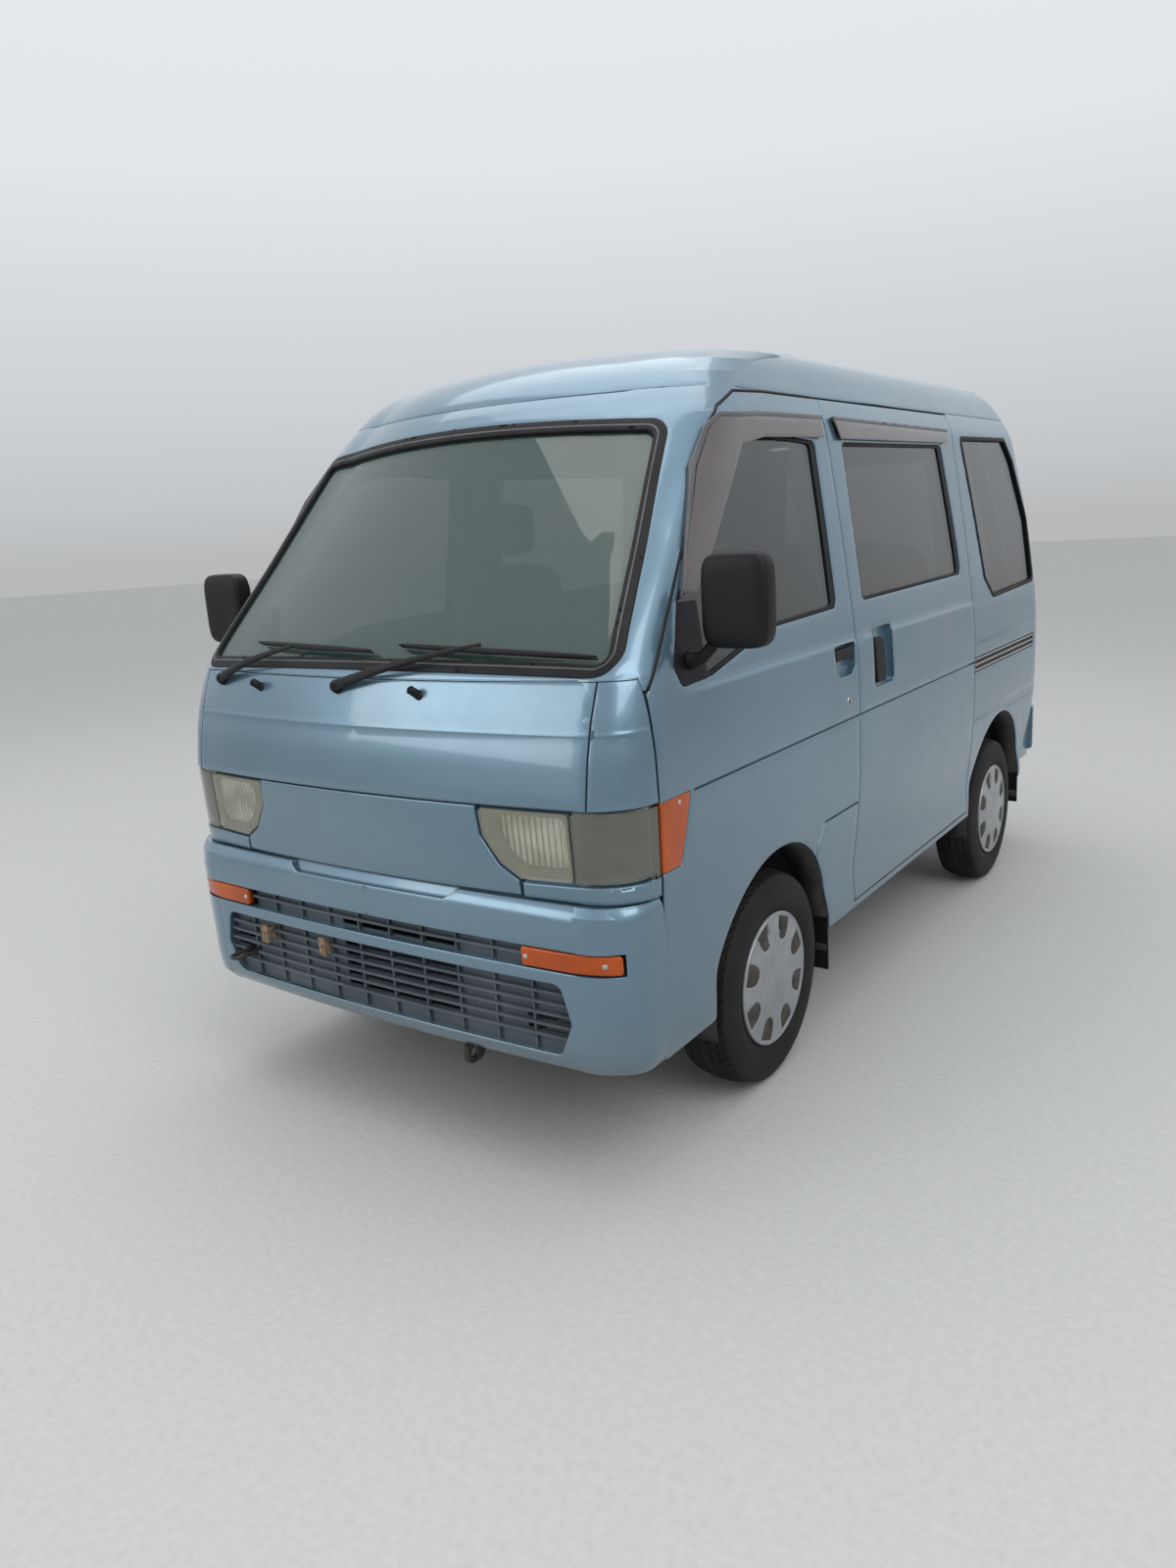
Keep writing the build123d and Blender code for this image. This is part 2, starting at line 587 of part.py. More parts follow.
# Grille: a panel behind the opening, ledges across it and ribs between them, vents in the middle.
# Its pieces follow one arc, set back from the bumper's face.
GRILLE_FRONT = -1640.5
GRILLE_BOW = 18
GRILLE_HALF = 560
GRILLE_Z = (318, 492)


def behind_face(x, inset):
    """Y of the grille's arc at one X, some way behind the bumper's face."""
    return GRILLE_FRONT + inset + GRILLE_BOW * (x / GRILLE_HALF) ** 2


def ledge(half, z, inset):
    """A strip across the van between two heights, from a depth behind the bumper's face to its back."""
    with BuildPart() as strip:
        with BuildSketch(Plane.XY.offset(z[0])):
            with BuildLine():
                front, back = [
                    ThreePointArc(*[(x, behind_face(x, at)) for x in (-half, 0, half)])
                    for at in (inset, BUMPER_WALL)
                ]
                Line(front @ 0, back @ 0)
                Line(front @ 1, back @ 1)
            make_face()
        extrude(amount=z[1] - z[0])
    return strip.part


def ribs(z):
    """The upright ribs of the grille between two heights."""
    return Compound(children=[
        box(
            (x - RIB_THICK / 2, x + RIB_THICK / 2),
            (behind_face(x, RIB_INSET), behind_face(x, BUMPER_WALL - 2)),
            z,
        )
        for x in RIBS_X
    ])


ROW_GAP = 4
rows = list(zip(SLATS_Z, SLATS_Z[1:] + (488,)))
with BuildPart() as lower_grille:
    add(ledge(GRILLE_HALF, GRILLE_Z, PANEL_INSET))
    for low, high in rows:
        add(box(VENT_X, (-1750, -1500), (low + ROW_GAP, high - ROW_GAP)), mode=Mode.SUBTRACT)
    for low, high in rows[1:3]:
        add(box((426, 540), (-1750, -1500), (low + ROW_GAP - 24, high - ROW_GAP - 24)), mode=Mode.SUBTRACT)
    for low, high in rows[:3]:
        add(box(HOOK_CELLS_X, (-1750, -1500), (low + ROW_GAP, high - ROW_GAP)), mode=Mode.SUBTRACT)
    for z in SLATS_Z:
        add(ledge(GRILLE_HALF, (z - SLAT_THICK / 2, z + SLAT_THICK / 2), SLAT_INSET))
    add(ribs(GRILLE_Z))
    for x in PLATE_HOLES_X:
        add(box((x - 16, x + 16), (-1750, behind_face(x, PANEL_INSET)), (432, 489)), mode=Mode.SUBTRACT)
    add(box((HOOK_X - 26, HOOK_X + 26), (-1750, -1580), (HOOK_Z - 11, HOOK_Z + 11)), mode=Mode.SUBTRACT)
    add(bumper_opening, mode=Mode.INTERSECT)
with BuildPart() as upper_grille:
    add(ledge(BUMPER_LAMP_X[0], LAMP_BAR_Z, PANEL_INSET))
    add(box(VENT_X, (-1750, -1500), (LAMP_BAR_Z[0] + ROW_GAP, UPPER_SLAT_Z - ROW_GAP)), mode=Mode.SUBTRACT)
    add(ledge(BUMPER_LAMP_X[0], (UPPER_SLAT_Z - SLAT_THICK / 2, UPPER_SLAT_Z + SLAT_THICK / 2), SLAT_INSET))
    add(ribs(LAMP_BAR_Z))
    add(box((-BUMPER_LAMP_X[0], BUMPER_LAMP_X[0]), (-1750, -1560), LAMP_BAR_Z), mode=Mode.INTERSECT)
place(Compound(children=[lower_grille.part, upper_grille.part]), "bumper_grille")

# Number-plate brackets, square to the road so that the plate hangs upright
PLATE_HOLE_R = 3.5
BRACKET_THICK = 3
BRACKET_Y = -1645


def plate_bracket(x):
    """One bracket: a face plate with its hole, and a tab that runs back to the grille panel."""
    low, high = PLATE_HOLES_Z - 23, PLATE_HOLES_Z + 23
    with BuildPart() as bracket:
        add(box((x - 11, x + 11), (BRACKET_Y, BRACKET_Y + BRACKET_THICK), (low, high)))
        add(box((x + 11 - BRACKET_THICK, x + 11), (BRACKET_Y, behind_face(x, PANEL_INSET) + 3), (low + 8, high - 8)))
        hole_ends = [(x, y, PLATE_HOLES_Z) for y in (BRACKET_Y - 1, BRACKET_Y + BRACKET_THICK + 1)]
        add(cylinder(*hole_ends, PLATE_HOLE_R), mode=Mode.SUBTRACT)
    return bracket.part.rotate(Axis((0, BRACKET_Y, PLATE_HOLES_Z), (1, 0, 0)), -RAKE)


with BuildPart() as plate_brackets:
    for x in PLATE_HOLES_X:
        add(plate_bracket(x) - ledge(GRILLE_HALF, GRILLE_Z, PANEL_INSET))
place(plate_brackets.part, "plate_brackets")

# Doors: panel, glass, outside fittings and amber marker, for the left side and then mirrored
door_zone = prism(DOOR_OUTLINE, 450, 760)
MARKER_OUTLINE = [
    (DOOR_FRONT_Y, 852), (-1353, 852), (-1358, 830), (-1378, 765), (-1402, 703), (DOOR_FRONT_Y, 703),
]
with BuildPart() as side_marker:
    add(skin)
    add(prism(MARKER_OUTLINE, 450, 760), mode=Mode.INTERSECT)
HANDLE_Y = (-572, -446)
HANDLE_Z = (1008, 1046)
HANDLE_OUT_X = 700
RECESS = [(-578, 1052), (-440, 1052), (-446, 985), (-470, 968), (-548, 968), (-572, 985)]
SLIDE_HANDLE_Y = (-298, -214)
SLIDE_HANDLE_Z = (912, 1046)
SLIDE_RECESS = [(-308, 1071), (-157, 1071), (-157, 905), (-308, 905)]
door_recess = prism(RECESS, 600, 760, radius=10) - backing
slide_recess = prism(SLIDE_RECESS, 600, 760, radius=16) - backing
# The crease along the side: a shallow groove at one height
GROOVE_Z = (846, 854)
side_groove = box((600, 760), (-1350, 1420), GROOVE_Z) & groove_layer
with BuildPart() as door_panel:
    add(wall)
    add(door_zone, mode=Mode.INTERSECT)
    add(front_arch, mode=Mode.SUBTRACT)
    add(front_window, mode=Mode.SUBTRACT)
    add(box((450, 760), (-1480, -400), (200, SILL_Z + 2)), mode=Mode.SUBTRACT)
    add(side_marker.part, mode=Mode.SUBTRACT)
    add(door_recess, mode=Mode.SUBTRACT)
    add(side_groove, mode=Mode.SUBTRACT)
    for z in DOOR_HINGES_Z:
        pocket_z = (z - 20, z + HINGE_EYE_H + 4)
        add(box((600, DOOR_AXIS_X + 4.5), (-1490, -1440), pocket_z), mode=Mode.SUBTRACT)
    for z in DOOR_HINGES_Z:
        eye_ends = [(DOOR_AXIS_X, DOOR_AXIS_Y, end) for end in (z, z + HINGE_EYE_H)]
        add(cylinder(*eye_ends, DOOR_EYE_R))
        add(box((DOOR_AXIS_X - DOOR_EYE_R, DOOR_AXIS_X + 5), (DOOR_AXIS_Y, -1438), (z, z + HINGE_EYE_H)))
        add(cylinder((DOOR_AXIS_X, DOOR_AXIS_Y, z - 1), (DOOR_AXIS_X, DOOR_AXIS_Y, z + HINGE_EYE_H + 1),
                     DOOR_PIN_R + SEAT_GAP), mode=Mode.SUBTRACT)
with BuildPart() as door_glass:
    add(glass_layer)
    add(front_window, mode=Mode.INTERSECT)
SAIL = [(-1346, 1066), (-1372, 1112), (-1318, 1236), (-1240, 1236), (-1240, 1070)]
with BuildPart() as mirror_head:
    with BuildSketch(Plane.XZ.offset(1330)) as mirror_outline:
        with BuildLine():
            Polyline((722, 1142), (730, 1330), (868, 1322), (872, 1150), close=True)
        make_face()
        fillet(mirror_outline.vertices(), 26)
    extrude(amount=-58)
    fillet(mirror_head.faces().sort_by(Axis.Y)[0].edges(), 20)
    add(prism([(-1322, 1096), (-1290, 1096), (-1284, 1158), (-1316, 1158)], 660, 745))
    add(glass_outer, mode=Mode.SUBTRACT)
with BuildPart() as sail:
    add(groove_layer)
    add(prism(SAIL, 450, 760), mode=Mode.INTERSECT)
    add(front_window, mode=Mode.INTERSECT)
with BuildPart() as door_handle:
    add(box((640, HANDLE_OUT_X), HANDLE_Y, HANDLE_Z) - backing)
    fillet(door_handle.edges().filter_by(Axis.X), 6)
# Rain visors: thin strips that stand off the door frames, joined to them by a lip along the top
VISOR_STAND = 14
VISOR_THICK = 4
FRONT_VISOR = [
    (-1300, 1251), (-1129, 1500), (-1046, 1585), (-1003, 1612), (-829, 1622), (-470, 1626), (-466, 1582),
    (-819, 1575), (-938, 1556), (-1152, 1336), (-1252, 1250),
]
FRONT_LIP = [
    (-1310, 1240), (-1140, 1508), (-1052, 1594), (-1000, 1622), (-829, 1632), (-460, 1636),
    (-460, 1622), (-829, 1618), (-1000, 1606), (-1046, 1580), (-1128, 1496), (-1290, 1250),
]
SLIDE_VISOR = [(-385, 1635), (559, 1630), (544, 1588), (-360, 1581)]
SLIDE_LIP = [(-385, 1636), (559, 1631), (559, 1622), (-385, 1626)]


def side_slab(low, high):
    """A leaning slab along the side, between two distances from the outer skin."""
    rows = [level for level in LEVELS if 1192 <= level.z <= GUTTER_Z]
    with BuildPart() as slab:
        with BuildSketch(Plane.XZ.offset(420)):
            with BuildLine():
                Polyline(
                    *[(level.half + low, level.z) for level in rows],
                    *[(level.half + high, level.z) for level in reversed(rows)], close=True,
                )
            make_face()
        extrude(amount=900)
        add(slab.part.moved(Location((0, 1000, 0))))
    return slab.part


visor_slab = side_slab(VISOR_STAND - VISOR_THICK, VISOR_STAND)
lip_slab = side_slab(SEAT_GAP, VISOR_STAND)
with BuildPart() as door_visor:
    add(visor_slab & prism(FRONT_VISOR, 450, 800))
    add((lip_slab & prism(FRONT_LIP, 450, 800)) - outer)
with BuildPart() as slide_visor:
    add(visor_slab & prism(SLIDE_VISOR, 450, 800))
    add((lip_slab & prism(SLIDE_LIP, 450, 800)) - outer)
with BuildPart() as door_fittings:
    add(mirror_head.part)
    add(sail.part)
    add(door_handle.part)
    add(door_visor.part)
for side, name in ((1, "left"), (-1, "right")):
    for piece, label in (
        (door_panel, f"door_{name}"), (door_glass, f"door_glass_{name}"),
        (side_marker, f"side_marker_{name}"), (door_fittings, f"door_fittings_{name}"),
    ):
        place(piece.part if side == 1 else piece.part.mirror(Plane.YZ), label)

# Sliding doors and fixed side glass
with BuildPart() as sliding_door:
    add(wall)
    add(prism(SLIDE_OUTLINE, 450, 760), mode=Mode.INTERSECT)
    add(slide_window, mode=Mode.SUBTRACT)
    add(rear_arch, mode=Mode.SUBTRACT)
    add(slide_recess, mode=Mode.SUBTRACT)
    add(side_groove, mode=Mode.SUBTRACT)
    add(box((POST_X[1], 650), (-360, -310), (330, 350)))
    add(box((ROOF_RAIL_X[1], 560), (480, 540), (1640, 1656)))
place(both(sliding_door.part), "sliding_doors")
with BuildPart() as slide_glass:
    add(glass_layer)
    add(slide_window, mode=Mode.INTERSECT)
with BuildPart() as quarter_glass:
    add(glass_layer)
    add(quarter_window, mode=Mode.INTERSECT)
place(Compound(children=[both(slide_glass.part), both(quarter_glass.part)]), "side_glass")

# Tailgate with its window
GATE_WINDOW = [
    (-GATE_WINDOW_HALF, GATE_WINDOW_Z[0]), (GATE_WINDOW_HALF, GATE_WINDOW_Z[0]),
    (420, GATE_WINDOW_Z[1]), (-420, GATE_WINDOW_Z[1]),
]
gate_window = front_prism(GATE_WINDOW, radius=30, y_from=1300, y_to=1750)
with BuildPart() as tailgate:
    add(wall)
    add(gate_zone, mode=Mode.INTERSECT)
    add(gate_window, mode=Mode.SUBTRACT)
    for x in GATE_HINGES_X:
        add(box((x - 30, x + 20), (1400, GATE_AXIS_Y + 8.5), (GATE_AXIS_Z - 22, 1690)), mode=Mode.SUBTRACT)
        add(box((x - 30, x + 20), (1400, 1550), (GATE_AXIS_Z + 7, 1690)), mode=Mode.SUBTRACT)
    for x in GATE_HINGES_X:
        add(cylinder((x - 12, GATE_AXIS_Y, GATE_AXIS_Z), (x + 12, GATE_AXIS_Y, GATE_AXIS_Z), HINGE_EYE_R))
        arm_y = (GATE_AXIS_Y - HINGE_EYE_R, GATE_AXIS_Y + 9)
        add(box((x - 12, x + 12), arm_y, (GATE_AXIS_Z - 24, GATE_AXIS_Z)))
        add(cylinder((x - 13, GATE_AXIS_Y, GATE_AXIS_Z), (x + 13, GATE_AXIS_Y, GATE_AXIS_Z),
                     HINGE_PIN_R + SEAT_GAP), mode=Mode.SUBTRACT)
place(tailgate.part, "tailgate")
with BuildPart() as tailgate_glass:
    add(glass_layer)
    add(gate_window, mode=Mode.INTERSECT)
place(tailgate_glass.part, "tailgate_glass")

# Rear bumper and tail lamps
REAR_BUMPER_Z = (372, 556)
with BuildPart() as rear_bumper:
    with BuildSketch(Plane.XY.offset(REAR_BUMPER_Z[0])):
        with BuildLine():
            arc = ThreePointArc((-560, 1634), (0, REAR_END_Y), (560, 1634))
            right = ThreePointArc(arc @ 1, (656, 1580), (692, 1480))
            left = ThreePointArc(arc @ 0, (-656, 1580), (-692, 1480))
            Line(left @ 1, right @ 1)
        make_face()
    extrude(amount=REAR_BUMPER_Z[1] - REAR_BUMPER_Z[0])
    fillet(rear_bumper.edges().filter_by(GeomType.CIRCLE), 14)
    add(outer, mode=Mode.SUBTRACT)
    add(box((-760, 760), (0, 1470), (200, 700)), mode=Mode.SUBTRACT)
place(rear_bumper.part, "rear_bumper")
with BuildPart() as tail_lamp:
    add(skin)
    add(tail_lamp_zone, mode=Mode.INTERSECT)
place(both(tail_lamp.part), "tail_lamps")

# Slide rails on the rear quarters and the slide handles
with BuildPart() as slide_rail:
    add(rail_zone)
    add(groove_layer, mode=Mode.INTERSECT)
with BuildPart() as slide_handle:
    add(box((640, HANDLE_OUT_X), SLIDE_HANDLE_Y, SLIDE_HANDLE_Z) - backing)
    fillet(slide_handle.edges().filter_by(Axis.X), 6)

# Wheels: tyre section and wheel with its cover, turned about the axle
TYRE_SECTION = [
    (-52, 152), (-TYRE_WIDTH / 2, 206), (-64, 258), (0, TYRE_RADIUS),
    (64, 258), (TYRE_WIDTH / 2, 206), (52, 152),
]
SPINDLE_R = 14
STUB_OUT = 19
COVER_R = 168
# Pockets round the edge of each wheel cover
POCKETS = 8
POCKET_R = 136
POCKET_LENGTH = 26
POCKET_WIDTH = 50
POCKET_FROM = 50
for side, end in ((1, "left"), (-1, "right")):
    for hub_y, hub_z, row in ((FRONT_HUB_Y, HUB_Z, "front"), (REAR_HUB_Y, REAR_HUB_Z, "rear")):
        hub = Plane(origin=(side * TRACK / 2, hub_y, hub_z), x_dir=(side, 0, 0), z_dir=(0, 0, 1))
        axle = Axis((side * TRACK / 2, hub_y, hub_z), (side, 0, 0))
        with BuildPart() as tyre:
            with BuildSketch(hub):
                with BuildLine():
                    points = TYRE_SECTION
                    ThreePointArc(points[0], points[1], points[2])
                    ThreePointArc(points[2], points[3], points[4])
                    ThreePointArc(points[4], points[5], points[6])
                    Line(points[6], points[0])
                make_face()
            revolve(axis=axle)
        place(tyre.part, f"tyre_{row}_{end}")
        with BuildPart() as wheel:
            with BuildSketch(hub):
                with BuildLine():
                    Polyline(
                        (-52, 151.2), (53, 151.2), (62.5, 166.8), (66, 166.8), (66, COVER_R), (70, COVER_R),
                        (73, 128), (76, 60), (76.5, 0), (20, 0),
                        (20, SPINDLE_R + SEAT_GAP), (-30, SPINDLE_R + SEAT_GAP),
                        (-30, 50), (22, 50), (22, 140), (-52, 144), close=True,
                    )
                make_face()
            revolve(axis=axle)
            for turn in range(POCKETS):
                centre = hub.origin + Vector(side * POCKET_FROM, 0, 0)
                spoke = Plane(centre, x_dir=(0, 0, 1), z_dir=(side, 0, 0))
                with BuildSketch(spoke.rotated((0, 0, (turn + 0.5) * 360 / POCKETS))):
                    with Locations((POCKET_R, 0)):
                        Rectangle(POCKET_LENGTH, POCKET_WIDTH)
                    with Locations((POCKET_R - POCKET_LENGTH / 2, 0)):
                        Circle(POCKET_WIDTH / 2)
                extrude(amount=40, mode=Mode.SUBTRACT)
        place(wheel.part, f"wheel_{row}_{end}")

# Front suspension: steering axis leans inwards, as a strut does
KINGPIN_X = 530
KINGPIN_TOP = (478, 620)
KING_LEAN = (KINGPIN_TOP[0] - KINGPIN_X) / (KINGPIN_TOP[1] - HUB_Z)


def on_kingpin(z):
    """The point of the left steering axis at one height."""
    return (KINGPIN_X + KING_LEAN * (z - HUB_Z), FRONT_HUB_Y, z)


with BuildPart() as knuckle:
    add(cylinder((KINGPIN_X - 4, FRONT_HUB_Y, HUB_Z), (KINGPIN_X + 38, FRONT_HUB_Y, HUB_Z), 62))
    add(cylinder((KINGPIN_X, FRONT_HUB_Y, HUB_Z), (TRACK / 2 + STUB_OUT, FRONT_HUB_Y, HUB_Z), SPINDLE_R))
    add(cylinder(on_kingpin(200), on_kingpin(460), 20))
    add(cylinder(on_kingpin(168), on_kingpin(205), 8))
    add(cylinder(on_kingpin(455), on_kingpin(606), 9))
    add(box((490, KINGPIN_X), (FRONT_HUB_Y + 10, FRONT_HUB_Y + 110), (216, 230)))
for side, name in ((1, "left"), (-1, "right")):
    place(knuckle.part if side == 1 else knuckle.part.mirror(Plane.YZ), f"knuckle_{name}")
with BuildPart() as lower_arm:
    add(box((330, 540), (FRONT_HUB_Y - 22, FRONT_HUB_Y + 22), (172, 192)))
    add(cylinder(on_kingpin(170), on_kingpin(194), 20))
    add(cylinder(on_kingpin(165), on_kingpin(199), 8 + SEAT_GAP), mode=Mode.SUBTRACT)
with BuildPart() as strut_mount:
    add(box((434, 522), (FRONT_HUB_Y - 44, FRONT_HUB_Y + 44), (596, SEAT_BASE_Z - FLOOR_THICK)))
    add(cylinder(on_kingpin(500), on_kingpin(625), 9 + SEAT_GAP), mode=Mode.SUBTRACT)
with BuildPart() as front_suspension:
    for piece in (lower_arm.part, strut_mount.part):
        add(piece)
        add(piece.mirror(Plane.YZ))
    add(box((-340, 340), (FRONT_HUB_Y - 40, FRONT_HUB_Y + 40), (170, 230)))
    for side in (-1, 1):
        add(box((side * 330 - 30, side * 330 + 30), (FRONT_HUB_Y - 40, FRONT_HUB_Y + 40), (200, 300)))
place(front_suspension.part, "front_suspension")

# Rear axle with its differential and leaf springs
SPRING_X = 425
with BuildPart() as rear_axle:
    add(cylinder((-520, REAR_HUB_Y, REAR_HUB_Z), (520, REAR_HUB_Y, REAR_HUB_Z), 34))
    stub_ends = [(side * (TRACK / 2 + STUB_OUT), REAR_HUB_Y, REAR_HUB_Z) for side in (-1, 1)]
    add(cylinder(*stub_ends, SPINDLE_R))
    with Locations((60, REAR_HUB_Y, REAR_HUB_Z)):
        Sphere(96)
    add(cylinder((60, REAR_HUB_Y - 170, REAR_HUB_Z), (60, REAR_HUB_Y, REAR_HUB_Z), 40))
    for side in (-1, 1):
        add(cylinder((side * 520, REAR_HUB_Y, REAR_HUB_Z), (side * 556, REAR_HUB_Y, REAR_HUB_Z), 110))
place(rear_axle.part, "rear_axle")
SPRING_REACH = 470
SPRING_THICK = 18
SPRING_RISE = 62
AXLE_R = 34
with BuildPart() as leaf_spring:
    with BuildSketch(Plane.YZ.offset(SPRING_X - 25)):
        with BuildLine():
            mid_z = REAR_HUB_Z - AXLE_R - SEAT_GAP
            low = ThreePointArc(
                (REAR_HUB_Y - SPRING_REACH, mid_z + SPRING_RISE - SPRING_THICK),
                (REAR_HUB_Y, mid_z - SPRING_THICK),
                (REAR_HUB_Y + SPRING_REACH, mid_z + SPRING_RISE - SPRING_THICK),
            )
            high = ThreePointArc(
                (REAR_HUB_Y - SPRING_REACH, mid_z + SPRING_RISE),
                (REAR_HUB_Y, mid_z),
                (REAR_HUB_Y + SPRING_REACH, mid_z + SPRING_RISE),
            )
            Line(low @ 0, high @ 0)
            Line(low @ 1, high @ 1)
        make_face()
    extrude(amount=50)
    for y in (REAR_HUB_Y - SPRING_REACH + 10, REAR_HUB_Y + SPRING_REACH - 10):
        add(box((SPRING_X - 12, SPRING_X + 12), (y - 12, y + 12), (mid_z + SPRING_RISE - 16, 430)))
place(both(leaf_spring.part), "leaf_springs")

# Chassis rails and cross members under the floor
FRONT_RAIL_X = (320, 370)
REAR_RAIL_X = (400, 450)
FOOT_UNDER_Z = FOOT_Z - FLOOR_THICK
LOAD_UNDER_Z = LOAD_FLOOR_Z - FLOOR_THICK
with BuildPart() as chassis_frame:
    for side in (-1, 1):
        front_xs = tuple(sorted((side * FRONT_RAIL_X[0], side * FRONT_RAIL_X[1])))
        rear_xs = tuple(sorted((side * REAR_RAIL_X[0], side * REAR_RAIL_X[1])))
        join_xs = tuple(sorted((side * FRONT_RAIL_X[0], side * REAR_RAIL_X[1])))
        add(box(front_xs, (-1560, -560), (300, FOOT_UNDER_Z)))
        add(box(rear_xs, (-580, 1545), (430, LOAD_UNDER_Z)))
        add(box(join_xs, (-600, -560), (300, LOAD_UNDER_Z)))
    for y, z in ((-1245, 300), (-560, 300), (100, 430), (560, 430), (1520, 430)):
        add(box((-410, 410), (y - 15, y + 15), (z, z + 45)))
    add(box((-420, 420), (STAY_Y, -1560), (300, FOOT_UNDER_Z)))
TOW_EYE = (250, -1600, 266)
TOW_EYE_R = 13
with BuildPart() as tow_eye:
    add(box((TOW_EYE[0] - 6, TOW_EYE[0] + 6), (TOW_EYE[1] - 24, STAY_Y + 20), (TOW_EYE[2] - 24, 290)))
    add(box((TOW_EYE[0] - 6, TOW_EYE[0] + 6), (STAY_Y - 4, STAY_Y + 20), (280, 302)))
    fillet(tow_eye.edges().filter_by(Axis.X).sort_by(Axis.Z)[:2], 20)
    hole_ends = [(TOW_EYE[0] + out, *TOW_EYE[1:]) for out in (-8, 8)]
    add(cylinder(*hole_ends, TOW_EYE_R), mode=Mode.SUBTRACT)
with BuildPart() as front_hook:
    bend_y = HOOK_TIP_Y + HOOK_HALF + HOOK_ROD_R
    for side in (-1, 1):
        x = HOOK_X + side * HOOK_HALF
        add(cylinder((x, STAY_Y - 6, HOOK_Z), (x, bend_y, HOOK_Z), HOOK_ROD_R))
    with BuildSketch(Plane(origin=(HOOK_X, bend_y, HOOK_Z), x_dir=(1, 0, 0), z_dir=(0, 1, 0))):
        with Locations((HOOK_HALF, 0)):
            Circle(HOOK_ROD_R)
    revolve(axis=Axis((HOOK_X, bend_y, HOOK_Z), (0, 0, -1)), revolution_arc=180)
    add(box((HOOK_X - 24, HOOK_X + 24), (STAY_Y - 12, STAY_Y), (360, 402)))
    add(box((HOOK_X - 24, -410), (STAY_Y - 12, STAY_Y + 4), (340, 365)))
with BuildPart() as whole_frame:
    add(chassis_frame.part)
    add(tow_eye.part)
    add(front_hook.part)
place(whole_frame.part, "chassis_frame")

# Under the floor: engine, propeller shaft, exhaust, tank, radiator and mud flaps
ENGINE_Y = (-1120, -640)
with BuildPart() as engine_block:
    add(box((-250, 250), ENGINE_Y, (330, 600)))
    fillet(engine_block.edges().filter_by(Axis.X), 25)
    for side in (-1, 1):
        add(box(tuple(sorted((side * 240, side * FRONT_RAIL_X[0]))), (-900, -840), (340, 362)))
place(engine_block.part, "engine_block")
SHAFT_X = 60
SHAFT_START = (SHAFT_X, ENGINE_Y[1], 400)
SHAFT_END = (SHAFT_X, REAR_HUB_Y - 170, REAR_HUB_Z)
with BuildPart() as propshaft:
    add(cylinder(SHAFT_START, (SHAFT_X, ENGINE_Y[1] + 60, 400), 32))
    add(cylinder((SHAFT_X, ENGINE_Y[1] + 50, 400), (SHAFT_X, REAR_HUB_Y - 220, REAR_HUB_Z), 26))
    add(cylinder((SHAFT_X, REAR_HUB_Y - 230, REAR_HUB_Z), SHAFT_END, 32))
place(propshaft.part, "propshaft")
PIPE_X = -180
TAIL_PIPE_Z = 332
with BuildPart() as exhaust:
    add(cylinder((PIPE_X, ENGINE_Y[1], 380), (PIPE_X, 1200, 380), 20))
    add(cylinder((PIPE_X, 1180, 380), (PIPE_X, 1500, 380), 66))
    add(cylinder((PIPE_X, 1480, TAIL_PIPE_Z), (PIPE_X, 1625, TAIL_PIPE_Z), 16))
    add(box((PIPE_X - 10, PIPE_X + 10), (1330, 1350), (430, LOAD_UNDER_Z)))
place(exhaust.part, "exhaust")
with BuildPart() as fuel_tank:
    add(box((110, 392), (-420, 60), (310, LOAD_UNDER_Z)))
    fillet(fuel_tank.faces().sort_by(Axis.Z)[0].edges(), 22)
place(fuel_tank.part, "fuel_tank")
with BuildPart() as radiator:
    add(box((-300, 240), (STAY_Y - 13, STAY_Y), (330, 500)))
place(radiator.part, "radiator")
with BuildPart() as flap:
    front_y = FRONT_ARCH[0] + FRONT_ARCH[2] - 2
    rear_y = REAR_ARCH[0] + REAR_ARCH[2] - 1.5
    add(box((560, 676), (front_y - 6, front_y), (170, 320)))
    add(box((560, 676), (rear_y - 6, rear_y), (180, 300)))
place(both(flap.part), "mud_flaps")

# Seats, dashboard, steering wheel
with BuildPart() as seats:
    for x in (-330, 330):
        add(box((x - 230, x + 230), (-1080, -640), (640, 800)))
        add(box((x - 220, x + 220), (-700, -600), (780, 1320)))
        add(box((x - 120, x + 120), (-680, -620), (1325, 1480)))
    add(box((-560, 560), (120, 600), (560, 860)))
    add(box((-560, 560), (560, 680), (840, 1300)))
place(seats.part, "seats")
with BuildPart() as dashboard:
    with BuildSketch(Plane.YZ.offset(-POST_X[0])):
        with BuildLine():
            Polyline(
                (BULKHEAD_Y[1] + 2, 1070), (-1470, 1096), (-1300, 1090), (-1240, 960), (-1280, 820),
                (BULKHEAD_Y[1] + 2, 800), close=True,
            )
        make_face()
    extrude(amount=2 * POST_X[0])
    add(cabin, mode=Mode.INTERSECT)
COLUMN_START = (-330, -1420, 800)
WHEEL_CENTRE = (-330, -1130, 985)
column_dir = (Vector(*WHEEL_CENTRE) - Vector(*COLUMN_START)).normalized()


def on_column(back):
    """The point of the steering column at one distance before the wheel's centre."""
    return tuple(Vector(*WHEEL_CENTRE) - column_dir * back)


